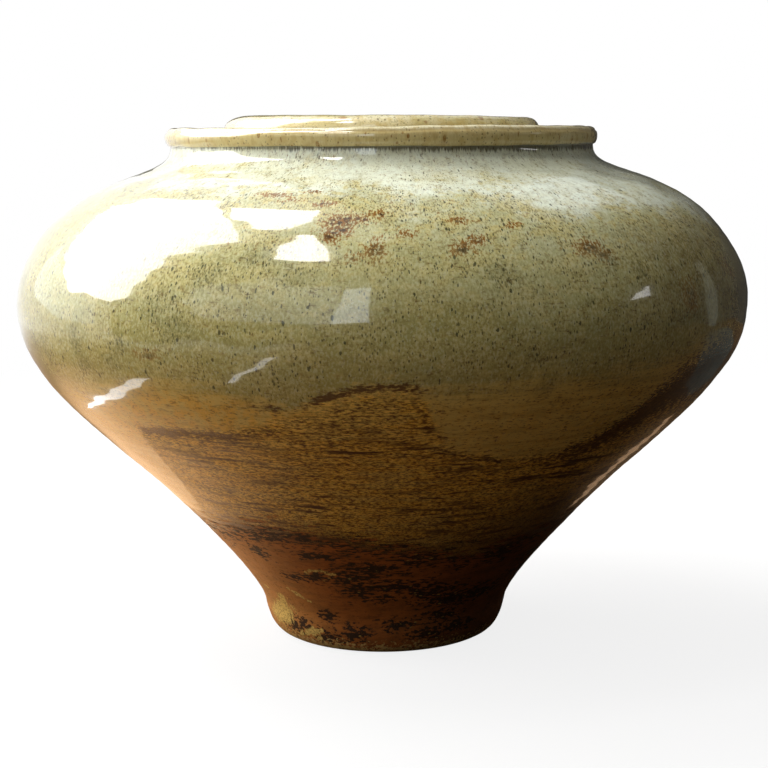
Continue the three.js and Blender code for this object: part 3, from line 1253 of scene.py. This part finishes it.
    def places(self) -> list[Place]:
        """The places that the outer wall runs through, from the foot's edge to the neck."""
        shoulder_radius = self.neck_radius + self.shoulder_spread
        neck_height = self.rim_height - 2 * self.rim_roll - self.neck_undercut
        return [
            Place(self.heel_radius - self.heel_tuck, 0.0, 90.0, 0.0, 0.29),
            Place(self.heel_radius, self.heel_height, self.heel_lean, 0.46, 0.18),
            Place(self.cone_radius, self.cone_height, self.cone_lean, 0.16, 0.41),
            Place(self.belly_radius, self.rim_height - self.belly_drop, 0.0, 0.29, 0.37),
            Place(shoulder_radius, self.rim_height - self.shoulder_drop, self.shoulder_lean, 0.34, 0.47),
            Place(self.neck_radius, neck_height, 0.0, 0.24, 0.0),
        ]

    def section(self) -> Section:
        """The whole outline, from the middle of the underside round to the middle of the floor."""
        places = self.places()
        ring_inside = places[0].radius - self.foot_ring_width
        recess_edge = point(ring_inside - 2 * self.recess_slope, self.foot_recess)
        roll_under = point(self.neck_radius, self.rim_height - 2 * self.rim_roll)
        roll_outside = point(self.neck_radius + self.rim_overhang, self.rim_height - self.rim_roll)
        ledge, throat, lip = self.ledge, self.throat_radius, self.lip_round
        underside = ledge[1] - self.ledge_thickness
        floor_top = self.foot_recess + self.floor_thickness
        floor_edge = Place(self.heel_radius - self.floor_corner, floor_top, 90.0, 0.0, 0.35)
        under_ledge = Place(throat + lip, underside, -90.0, 0.45, 0.0)
        inner = [floor_edge, *[place.inner_face(self.wall) for place in places[2:5]], under_ledge]
        lip_top = corner(point(throat + lip, ledge[1]), point(throat, ledge[1] - lip), IN)
        lip_bottom = corner(point(throat, underside + lip), point(throat + lip, underside), DOWN)
        return Section([
            Stretch(straight(point(0.0, self.foot_recess), recess_edge), 3.0 * MM, Skin.CLAY),
            Stretch(slope(recess_edge, point(ring_inside, 0.0)), 0.8 * MM, Skin.CLAY),
            Stretch(straight(point(ring_inside, 0.0), places[0].at), 2.0 * MM, Skin.CLAY),
            Stretch(wall_through(places), 2.1 * MM, Skin.GLAZE, 1.0),
            Stretch(straight(places[-1].at, roll_under), 0.4 * MM, Skin.GLAZE, 1.0),
            Stretch(corner(roll_under, roll_outside, OUT), 0.7 * MM, Skin.GLAZE, 1.2),
            Stretch(corner(roll_outside, self.crest, UP), 0.7 * MM, Skin.GLAZE, 1.2),
            Stretch(slope(self.crest, ledge), 1.2 * MM, Skin.GLAZE, 0.4),
            Stretch(straight(ledge, point(throat + lip, ledge[1])), 2.0 * MM, Skin.CLAY),
            Stretch(lip_top, 0.8 * MM, Skin.LINING),
            Stretch(straight(lip_top[-1], lip_bottom[0]), 1.0 * MM, Skin.LINING),
            Stretch(lip_bottom, 0.8 * MM, Skin.LINING),
            Stretch(wall_through(inner)[::-1], 4.5 * MM, Skin.LINING, 2.0),
            Stretch(straight(floor_edge.at, point(0.0, floor_top)), 5.0 * MM, Skin.LINING),
        ])

    def shape(self) -> TurnedPiece:
        """Spins the section and presses the hand's unevenness into it."""
        piece = TurnedPiece("glazed_jar", self.section())
        section, run, angle = piece.section, piece.run, piece.angle
        crease_run = section.run_at(self.crest) - self.rim_crease
        start, end = self.wall_ends(section)
        fade_in = np.clip((run - start) / self.rings_fade_at_foot, 0, 1)
        fade_out = np.clip((end - run) / self.rings_fade_at_neck, 0, 1)
        inside = run > section.run_at(point(self.throat_radius, self.ledge[1] - self.lip_round))
        depth = np.where(inside, self.ring_depth_inside, self.ring_depth * fade_in * fade_out)
        rings = np.cos(math.tau * run / self.ring_pitch + angle) * depth
        near_crease = run - crease_run - self.crease_wander.over(angle, 0 * run)
        crease = -self.crease_depth * np.exp(-(near_crease / self.crease_width) ** 2)
        slant = self.low_roll_depth - self.low_roll_slant * np.sin(np.radians(piece.turn))
        low_roll = slant * np.exp(-((near_crease + self.low_roll_place) / self.low_roll_width) ** 2)
        uneven = self.broad.over(angle, run) + self.lumps.over(angle, run)
        piece.press(piece.uneven * uneven + rings + crease + low_roll)
        self.mask_borders(piece)
        self.mask_tones(piece)
        self.mask_rim(piece, crease_run)
        return piece

    def wall_ends(self, section: Section) -> tuple[float, float]:
        """How far along the outline the outer wall starts and ends."""
        places = self.places()
        return section.run_at(places[0].at), section.run_at(places[-1].at)

    def mask_borders(self, piece: TurnedPiece) -> None:
        """Adds the masks of the glaze's borders and of the marks on the wall."""
        turn, height, section = piece.turn, piece.height, piece.section
        above_dip, above_film, above_clay = (
            height - tide.at(turn) for tide in (self.dip, self.film, self.clay)
        )
        piece.mask("above_dip", above_dip)
        piece.mask("above_film", above_film)
        piece.mask("above_clay", above_clay)
        piece.mask("softness", self.dip_softness.at(turn) * MM)
        width = self.film_line_width.at(turn) * MM
        dip_reach = (np.abs(above_dip + self.dip_line_drop) / self.dip_line_width) ** 2
        dip_line = self.dip_dark.at(turn) * np.exp(-dip_reach)
        film_line = self.film_dark.at(turn) * np.exp(-((above_film + width / 2) / width) ** 2)
        piece.mask("line", np.maximum(dip_line, film_line))
        start, end = self.wall_ends(section)
        on_wall = (section.run >= start) & (section.run <= end)
        run_of, heights = section.run[on_wall], section.points[on_wall, 1]
        for name in ("rust", "splash", "scorch", "green"):
            piece.paint(name, [*getattr(self, name), *self.marks_behind(name)], run_of, heights)
        reach = ((above_clay + self.scorched_drop) / self.scorched_width) ** 2
        border = self.scorched_share * np.exp(-reach)
        piece.mask("scorch", np.maximum(piece.masks["scorch"], border))

    def mask_tones(self, piece: TurnedPiece) -> None:
        """Adds the masks of the broad tones, all painted light and shade: shade on the right of the
        shoulder and belly and low on the right, a lighter tan on the left of the bare clay, and the
        shoulder paler to the right and darker to the left.
        """
        turn, height = piece.turn, piece.height
        # Painted shade on the right of the shoulder and belly.
        dusk = window(turn, (26.0, 52.0), (90.0, 125.0)) * window(height, (0.176, 0.200), (0.222, 0.246))
        piece.mask("dusk", dusk)
        # Painted light: the bare clay lighter and tan on the left.
        piece.mask("painted_light_left", window(turn, (-150.0, -95.0), (-55.0, -12.0)))
        # Painted light and shade: the shoulder paler to the right and darker to the left.
        pale = np.sin(np.radians(turn)) * smooth_step(height, 0.20, 0.235)
        piece.mask("pale", self.painted_light_drift * pale)
        # Painted shade low on the right.
        painted_shade_low_right = window(turn, (0.0, 42.0), (95.0, 150.0)) * smooth_step(height, 0.125, 0.075)
        piece.mask("painted_shade_low_right", painted_shade_low_right)

    def marks_behind(self, name: str) -> list[Mark]:
        """Marks of the same kinds on the side that the photograph doesn't show."""
        count, low, high, across, up = {
            "rust": (18, 200.0, 250.0, 4.5, 3.0),
            "splash": (9, 8.0, 62.0, 5.5, 4.5),
            "scorch": (22, 12.0, 84.0, 15.0, 4.0),
            "green": (30, 165.0, 225.0, 5.0, 4.0),
        }[name]
        draw = np.random.default_rng(sum(name.encode()))
        behind = []
        for _ in range(count):
            turn, height = draw.uniform(*self.unseen_side), draw.uniform(low, high)
            wide, tall = draw.uniform(*self.unseen_sizes), draw.uniform(*self.unseen_sizes)
            behind.append(Mark(turn, height, across * wide, up * tall))
        return behind

    def mask_rim(self, piece: TurnedPiece, crease_run: float) -> None:
        """Adds the masks of the rim: how far below its roll, its lower half, crease, bend, and how far the
        dark drips and the rim's painted shadow hang below it.
        """
        roll_under = point(self.neck_radius, self.rim_height - 2 * self.rim_roll)
        below_crease = crease_run - piece.run
        piece.mask("below_rim", piece.section.run_at(roll_under) - piece.run)
        piece.mask("rim_low", np.clip(below_crease / self.rim_low_edge + 0.5, 0, 1))
        piece.mask("crease", np.exp(-(below_crease / self.crease_dark_width) ** 2))
        piece.mask("bend", bend_mask(piece.section))
        piece.mask("drips_and_rim_shadow", self.drips_and_rim_shadow.at(piece.turn) * MM)

    def add(self) -> bpy.types.Object:
        """Makes the jar, which rides on its own body and stands for its CAD node."""
        materials = [AshGlaze().material(), LiningGlaze().material(), BareClay().material()]
        piece = self.shape().build(materials)
        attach(piece, "jar")
        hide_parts("jar")
        return piece


def bend_mask(section: Section) -> np.ndarray:
    """How sharply a section bends at each ring, over 3 mm: above 0 on an edge and below 0 in a hollow."""
    smooth = np.convolve(section.bend, np.ones(3) / 3, mode="same")
    return np.clip(smooth * 3 * MM, -1, 1)[1:-1, None]


@dataclass
class Lid:
    """The lid: a dished plate with a rolled edge, and the ring below that keeps it over the throat."""

    radius: float
    seat_height: float
    throat_radius: float
    roll_height: float = 10.3 * MM
    top_round: float = 9.0 * MM
    under_round: float = 3.0 * MM
    dish: float = 4.0 * MM
    dish_slope: float = 13.0 * MM
    plate: float = 7.0 * MM
    collar_clearance: float = 2.0 * MM
    collar_width: float = 7.0 * MM
    collar_depth: float = 11.0 * MM
    collar_round: float = 2.0 * MM
    roll_swell: float = 3.5 * MM
    roll_lift: float = 1.15 * MM

    broad = Waves(0.18 * MM, (1, 5), (60 * MM, 200 * MM), 8, 21)
    lumps = Waves(0.08 * MM, (6, 22), (16 * MM, 50 * MM), 16, 22)

    def section(self) -> Section:
        """The whole outline, from the middle of the underside round to the middle of the top."""
        seat, rounding = self.seat_height, self.collar_round
        dish_top = seat + self.roll_height - self.dish
        plate_under = dish_top - self.plate
        outside = self.throat_radius - self.collar_clearance
        inside, bottom = outside - self.collar_width, seat - self.collar_depth
        roll_outside = point(self.radius, seat + self.under_round)
        roll_top = point(self.radius - self.top_round, seat + self.roll_height)
        dish_edge = point(roll_top[0] - self.dish_slope, dish_top)
        plate_edge = point(inside - rounding, plate_under)
        inside_top = point(inside, plate_under - rounding)
        inside_low, bottom_inner = point(inside, bottom + rounding), point(inside + rounding, bottom)
        bottom_outer, outside_low = point(outside - rounding, bottom), point(outside, bottom + rounding)
        outside_top, seat_edge = point(outside, seat), point(self.radius - self.under_round, seat)
        return Section([
            Stretch(straight(point(0.0, plate_under), plate_edge), 4.0 * MM, Skin.LINING, 0.6),
            Stretch(corner(plate_edge, inside_top, OUT), 0.6 * MM, Skin.LINING),
            Stretch(straight(inside_top, inside_low), 1.2 * MM, Skin.LINING),
            Stretch(corner(inside_low, bottom_inner, DOWN), 0.6 * MM, Skin.CLAY),
            Stretch(straight(bottom_inner, bottom_outer), 0.8 * MM, Skin.CLAY),
            Stretch(corner(bottom_outer, outside_low, OUT), 0.6 * MM, Skin.CLAY),
            Stretch(straight(outside_low, outside_top), 1.0 * MM, Skin.CLAY),
            Stretch(straight(outside_top, seat_edge), 1.4 * MM, Skin.CLAY),
            Stretch(corner(seat_edge, roll_outside, OUT), 0.5 * MM, Skin.GLAZE, 0.3),
            Stretch(corner(roll_outside, roll_top, UP), 0.6 * MM, Skin.GLAZE, 0.8),
            Stretch(slope(roll_top, dish_edge), 0.9 * MM, Skin.GLAZE, 0.8),
            Stretch(straight(dish_edge, point(0.0, dish_top)), 2.5 * MM, Skin.GLAZE, 0.8),
        ])

    def shape(self) -> TurnedPiece:
        """Spins the section, swells and lifts its roll towards one side, and presses in the unevenness."""
        piece = TurnedPiece("glazed_lid", self.section())
        side = np.sin(np.radians(piece.turn))
        above_round = piece.height - self.seat_height - self.under_round
        rise = np.clip(above_round / (self.roll_height - self.under_round), 0, 1)
        inwards = np.clip((self.radius - piece.radius) / self.top_round, 0, 1)
        fading = np.clip(piece.radius / (self.radius - self.top_round - self.dish_slope), 0, 1)
        uneven = self.broad.over(piece.angle, piece.run) + self.lumps.over(piece.angle, piece.run)
        piece.press(piece.uneven * uneven)
        piece.radius = piece.radius + self.roll_swell * side * inwards * fading * rise
        piece.height = piece.height - self.roll_lift * side * rise * fading
        piece.mask("bend", bend_mask(piece.section))
        return piece

    def add(self) -> bpy.types.Object:
        """Makes the lid, which rides on its own body and stands for its CAD node."""
        materials = [LidGlaze().material(), LiningGlaze().material(), BareClay().material()]
        piece = self.shape().build(materials)
        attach(piece, "lid")
        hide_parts("lid")
        return piece


# The studio


def towards(turn: float, elevation: float) -> np.ndarray:
    """The direction at a turn round the jar and an elevation above the horizon, in degrees."""
    a, e = math.radians(turn), math.radians(elevation)
    return np.array([math.sin(a) * math.cos(e), -math.cos(a) * math.cos(e), math.sin(e)])


@dataclass(frozen=True)
class Pane:
    """A bright pane that lights the jar and is mirrored in it. Its corners are turns and elevations."""

    name: str
    corners: tuple[tuple[float, float], ...]
    radiance: float
    mirrored_only: bool = False
    tint: Colour = WHITE


@dataclass(frozen=True)
class SoftLight:
    """A soft light from one side of the room: where it comes from, its strength and how narrow it is."""

    turn: float
    elevation: float
    strength: float
    focus: float


@dataclass
class Studio:
    """The pale floor, the white backdrop, the soft light, the panes, the dark flags and the camera."""

    middle_height: float = 0.19
    pane_distance: float = 6.0
    flag_distance: float = 9.0
    low_flag_distance: float = 1.25
    low_flag_height: float = 0.42
    flag_turns: tuple[float, float, int] = (-88.0, 191.0, 30)
    flag_rises: tuple[float, float, int] = (-3.0, 88.0, 13)
    low_flag_turns: tuple[float, float, int] = (-82.0, 191.0, 40)
    flag_colour: Colour = (0.015, 0.014, 0.012)
    table_light_height: float = 0.002
    strip_radiance: float = 4.0
    warm_strip_radiance: float = 0.8
    patch_radiance: float = 0.085
    post_radiance: float = 0.24
    grey_daylight: Colour = (0.85, 0.92, 0.80)
    sunlit_colour: Colour = (1.0, 0.63, 0.36)
    sunlit_radiance: float = 0.95
    white: float = 1.0
    room_light: float = 0.012
    camera_place: tuple[float, float, float] = (0.0003, -0.9, 0.2753)
    camera_pitch: float = -8.68
    camera_roll: float = -0.45
    lens: float = 75.47
    sensor_width: float = 36.0

    floor_size: float = 40.0
    floor_paper: Colour = (0.86, 0.85, 0.83)
    floor_whiteness: float = 0.84
    # The table's colours carry painted light and shade: lighter at the left, darker at the right, paler
    # behind.
    table_left: Colour = (0.16, 0.10, 0.055)
    table_right: Colour = (0.04, 0.025, 0.014)
    table_behind: Colour = (0.45, 0.39, 0.32)
    whiter_from: tuple[float, float] = (0.45, 1.1)
    mirrored_white_from: tuple[float, float] = (1.2, 1.6)
    mirrored_white_left: tuple[float, float] = (-0.25, -0.60)
    mirrored_left_from: tuple[float, float] = (0.45, 1.50)
    # Painted shade: the table darker to the right; painted light: paler behind.
    painted_shade_to_right: tuple[float, float] = (-0.30, 0.25)
    painted_light_behind: tuple[float, float] = (0.02, 0.35)
    sunlit_to_left: tuple[float, float] = (-0.04, -0.15)
    sunlit_towards_back: tuple[float, float] = (-0.20, 0.06)
    sunlit_near: tuple[float, float] = (0.55, 0.28)

    soft_lights = (
        SoftLight(-78, 30, 1.80, 8.0),
        SoftLight(0, 90, 0.58, 8.0),
        SoftLight(160, 12, 1.50, 20.0),
    )
    panes = (
        Pane("main_window", (
            (-88, 13), (-84, 18), (-86, 30), (-92, 46), (-95, 62), (-125, 61), (-146, 51), (-152, 40),
            (-150, 28), (-138, 22), (-124, 20), (-112, 11), (-104, 15), (-97, 12),
        ), 9.0),
        Pane("upper_window", (
            (-145.7, 54.9), (-147.7, 59), (-151.6, 63), (-157.8, 66.4), (-136, 76), (-110, 71),
            (-115, 66.5), (-124.4, 63.7), (-125.6, 61.4),
        ), 10.0),
        Pane("roof_window", (
            (-52.8, 60.2), (-30.3, 64.2), (-62.0, 77.0), (-68.0, 75.8), (-66.0, 70.0),
        ), 14.0),
        Pane("back_window", (
            (177, 27), (164, 25), (150, 34), (141, 46), (142, 60), (150, 74), (165, 78), (178, 70),
            (180, 48),
        ), 0.45, mirrored_only=True, tint=SKY_BLUE),
        Pane("far_window", (
            (-14, 4), (-14, 44), (-5, 46), (-3, 12), (-7, 4),
        ), 3.6, mirrored_only=True, tint=SKY_BLUE),
        Pane("pale_wall", (
            (-66, 22), (-60, 40), (-42, 47), (-30, 44), (-16, 47), (-13, 9), (-20, 2), (-27, 10),
            (-36, 0), (-46, 9), (-55, 14),
        ), 1.1, mirrored_only=True, tint=SKY_BLUE),
        Pane("low_window_edge", (
            (-85, 1), (-87, 12), (-95, 11.5), (-95, -1),
        ), 0.9, mirrored_only=True, tint=SKY_BLUE),
        Pane("low_window", (
            (-95, 11.5), (-97, 11), (-104, 14), (-112, 10), (-124, 18), (-138, 20), (-134, 2),
            (-114, -1.5), (-95, -1.5),
        ), 2.0, mirrored_only=True, tint=SKY_BLUE),
        Pane("bright_chink", ((80, 12), (84, 18), (90, 17), (89, 13)), 3.6, mirrored_only=True),
    )
    table_strips = (
        (
            (-0.300, 0.15), (-0.290, 0.08), (-0.282, -0.03), (-0.300, -0.12), (-0.325, -0.17),
            (-0.335, -0.12), (-0.312, 0.02),
        ),
        ((-0.212, -0.275), (-0.290, -0.59), (-0.320, -0.57), (-0.222, -0.262)),
    )
    right_strip = (
        (0.150, 0.070), (0.165, 0.110), (0.200, 0.165), (0.240, 0.215), (0.285, 0.225), (0.262, 0.172),
        (0.225, 0.150), (0.197, 0.115), (0.178, 0.085),
    )
    right_patch = (
        (0.820, 0.230), (0.815, 0.550), (0.515, 0.520), (0.390, 0.390), (0.315, 0.180), (0.340, 0.100),
        (0.455, 0.120),
    )
    pale_post = (
        (0.90, 0.36, 0.01), (0.93, 0.37, 0.16), (0.92, 0.36, 0.33), (0.87, 0.35, 0.49),
        (0.89, 0.30, 0.50), (0.95, 0.27, 0.35), (0.97, 0.26, 0.18), (0.95, 0.28, 0.01),
    )

    @property
    def middle(self) -> np.ndarray:
        """The point that the panes and the flags stand round."""
        return np.array([0.0, 0.0, self.middle_height])

    def patch(
        self, name: str, corners: Corners, material: bpy.types.Material, lights: bool = False
    ) -> None:
        """Adds a flat patch to the stage. The camera doesn't see it and it casts no shadow.

        Args:
            name: the patch's name.
            corners: its corners in order.
            material: its material.
            lights: whether it also lights matt surfaces. Otherwise it is only mirrored.
        """
        mesh = bpy.data.meshes.new(name)
        mesh.from_pydata([tuple(place) for place in corners], [], [list(range(len(corners)))])
        mesh.materials.append(material)
        patch = bpy.data.objects.new(name, mesh)
        bpy.context.scene.collection.objects.link(patch)
        patch.visible_camera = False
        patch.visible_transmission = False
        patch.visible_shadow = False
        patch.visible_diffuse = lights

    def bare_material(self, name: str) -> tuple[bpy.types.Material, Graph, Socket]:
        """A new material without a shader, with its graph and the socket that takes its surface."""
        material = bpy.data.materials.new(name)
        material.use_nodes = True
        nodes = material.node_tree.nodes
        nodes.remove(nodes["Principled BSDF"])
        return material, Graph(material.node_tree), nodes["Material Output"].inputs["Surface"]

    def glow(self, name: str, colour: Colour, radiance: float) -> bpy.types.Material:
        """An even, bright material."""
        material, graph, surface = self.bare_material(name)
        light = graph.node("ShaderNodeEmission", {"Color": colour, "Strength": radiance})
        graph.feed(surface, light.outputs[0])
        return material

    def add_panes(self) -> None:
        """Adds the bright panes."""
        for pane in self.panes:
            corners = [self.middle + self.pane_distance * towards(*place) for place in pane.corners]
            material = self.glow(pane.name, pane.tint, pane.radiance)
            self.patch(pane.name, corners, material, lights=not pane.mirrored_only)

    def add_table_light(self) -> None:
        """Adds strips and a pale patch on the table and a pale post, which only the glaze mirrors."""
        bright = self.glow("bright_strip", WHITE, self.strip_radiance)
        warm = self.glow("warm_strip", self.sunlit_colour, self.warm_strip_radiance)
        pale = self.glow("pale_patch", self.grey_daylight, self.patch_radiance)
        strips = [(strip, bright) for strip in self.table_strips]
        for strip, light in [*strips, (self.right_strip, warm), (self.right_patch, pale)]:
            self.patch("table_strip", [(*place, self.table_light_height) for place in strip], light)
        post = self.glow("pale_post", self.grey_daylight, self.post_radiance)
        self.patch("pale_post", self.pale_post, post)

    def add_flags(self) -> None:
        """Adds the dark flags that only the glaze mirrors: all round, but for the backdrop's width."""
        material = bpy.data.materials.new("dark_flag")
        material.use_nodes = True
        shader = material.node_tree.nodes["Principled BSDF"]
        shader.inputs["Base Color"].default_value = (*self.flag_colour, 1.0)
        shader.inputs["Roughness"].default_value = 1.0
        rises, turns = np.linspace(*self.flag_rises), np.linspace(*self.flag_turns)
        for left, right in zip(turns, turns[1:]):
            for low, high in zip(rises, rises[1:]):
                corners = ((left, low), (right, low), (right, high), (left, high))
                places = [self.middle + self.flag_distance * towards(*place) for place in corners]
                self.patch("flag", places, material)
        raised = np.array([0.0, 0.0, self.low_flag_height])
        turns = np.linspace(*self.low_flag_turns)
        for left, right in zip(turns, turns[1:]):
            first, second = (self.low_flag_distance * towards(turn, 0.0) for turn in (left, right))
            self.patch("low_flag", [first, second, second + raised, first + raised], material)

    def add_floor(self) -> None:
        """Adds the pale floor, which keeps the jar's shadow and turns white in the distance."""
        half = self.floor_size / 2
        mesh = bpy.data.meshes.new("floor")
        corners = [(-half, -half, 0.0), (half, -half, 0.0), (half, half, 0.0), (-half, half, 0.0)]
        mesh.from_pydata(corners, [], [(0, 1, 2, 3)])
        floor = bpy.data.objects.new("floor", mesh)
        bpy.context.scene.collection.objects.link(floor)
        material, graph, surface = self.bare_material("pale_floor")
        place = graph.node("ShaderNodeTexCoord").outputs["Object"]
        distance = graph.vector("LENGTH", {0: place}, "Value")
        across, back, _ = graph.parts(place)
        ray = graph.node("ShaderNodeLightPath").outputs
        white = graph.node("ShaderNodeEmission", {"Color": WHITE, "Strength": self.white}).outputs[0]
        paper = graph.node("ShaderNodeBsdfDiffuse", {"Color": self.floor_paper}).outputs[0]
        near = graph.node("ShaderNodeMixShader", {0: self.floor_whiteness, 1: paper, 2: white}).outputs[0]
        far = graph.rise(distance, *self.whiter_from)
        pale = graph.node("ShaderNodeMixShader", {0: far, 1: near, 2: white}).outputs[0]
        table = self.table(graph, across, back, distance, ray["Is Glossy Ray"])
        further_left = graph.rise(across, *self.mirrored_white_left)
        left = graph.times(graph.rise(distance, *self.mirrored_left_from), further_left)
        mirrored = graph.larger(graph.rise(distance, *self.mirrored_white_from), left)
        seen = graph.larger(ray["Is Camera Ray"], ray["Is Transmission Ray"])
        seen = graph.larger(seen, graph.times(ray["Is Glossy Ray"], mirrored))
        both = graph.node("ShaderNodeMixShader", {0: seen, 1: table, 2: pale}).outputs[0]
        graph.feed(surface, both)
        mesh.materials.append(material)

    def table(
        self, graph: Graph, across: Socket, back: Socket, distance: Socket, glossy: Socket
    ) -> Socket:
        """The brown table that the jar's glaze mirrors and that throws light on it, sunlit near its left,
        with painted shade to its right and painted light behind the jar.

        Args:
            graph: the floor material's graph.
            across: a point's X.
            back: its Y.
            distance: its distance from the jar's axis.
            glossy: 1 where the glaze mirrors it.

        Returns:
            The shader.
        """
        # Painted shade: the table darker to the right.
        darker = graph.rise(across, *self.painted_shade_to_right)
        colour = graph.blend(darker, self.table_left, self.table_right)
        # Painted light: the table paler behind the jar, but not where the glaze mirrors it.
        behind = graph.times(graph.rise(back, *self.painted_light_behind), graph.minus(1.0, glossy))
        colour = graph.blend(behind, colour, self.table_behind)
        wood = graph.node("ShaderNodeBsdfDiffuse", {"Color": colour}).outputs[0]
        side = graph.rise(across, *self.sunlit_to_left)
        sunlit = graph.times(side, graph.rise(back, *self.sunlit_towards_back))
        sunlit = graph.times(sunlit, graph.rise(distance, *self.sunlit_near))
        inputs = {"Color": self.sunlit_colour, "Strength": graph.times(sunlit, self.sunlit_radiance)}
        sunlight = graph.node("ShaderNodeEmission", inputs).outputs[0]
        return graph.node("ShaderNodeAddShader", {0: wood, 1: sunlight}).outputs[0]

    def add_world(self) -> None:
        """Adds the white backdrop, and the soft light, which comes mostly from the left and from above."""
        world = bpy.data.worlds.new("soft_room")
        bpy.context.scene.world = world
        world.use_nodes = True
        graph = Graph(world.node_tree)
        direction = graph.node("ShaderNodeTexCoord").outputs["Generated"]
        soft: Value = self.room_light
        for light in self.soft_lights:
            axis = tuple(float(part) for part in towards(light.turn, light.elevation))
            facing = graph.vector("DOT_PRODUCT", {0: direction, 1: axis}, "Value")
            lobe = graph.math("POWER", graph.scaled(facing, 0.5, 0.5), light.focus)
            soft = graph.scaled(lobe, light.strength, soft)
        ray = graph.node("ShaderNodeLightPath").outputs
        seen = graph.larger(ray["Is Camera Ray"], ray["Is Glossy Ray"])
        seen = graph.larger(seen, ray["Is Transmission Ray"])
        back = world.node_tree.nodes["Background"]
        graph.feed(back.inputs["Color"], WHITE)
        graph.feed(back.inputs["Strength"], graph.between(seen, soft, self.white))

    def add_camera(self) -> None:
        """Adds the camera at the photograph's viewing angle."""
        camera = bpy.data.objects.new("camera", bpy.data.cameras.new("camera"))
        bpy.context.scene.collection.objects.link(camera)
        camera.data.sensor_width = self.sensor_width
        camera.data.lens = self.lens
        camera.location = self.camera_place
        pitch = Matrix.Rotation(math.radians(90.0 + self.camera_pitch), 4, "X")
        roll = Matrix.Rotation(math.radians(self.camera_roll), 4, "Z")
        camera.rotation_euler = (pitch @ roll).to_euler()
        bpy.context.scene.camera = camera

    def add(self) -> None:
        """Sets the whole stage."""
        self.add_floor()
        self.add_panes()
        self.add_table_light()
        self.add_flags()
        self.add_world()
        self.add_camera()
        bpy.context.scene.view_settings.view_transform = "Standard"


def main() -> None:
    """Builds the jar and its lid to the CAD's sizes, and the studio, and logs each piece's face count."""
    logging.basicConfig(level=logging.INFO, format="%(name)s: %(message)s")
    jar_low, jar_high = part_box("jar")
    lid_low, lid_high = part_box("lid")
    jar = Jar(belly_radius=(jar_high.x - jar_low.x) / 2, rim_height=jar_high.z)
    lid_radius, seat_height = (lid_high.x - lid_low.x) / 2, lid_high.z - Lid.roll_height
    lid = Lid(radius=lid_radius, seat_height=seat_height, throat_radius=jar.throat_radius)
    for sub_assembly in (jar, lid):
        piece = sub_assembly.add()
        log.info("%s: %d faces", piece.name, len(piece.data.polygons))
    Studio().add()


if __name__ == "__main__":
    main()
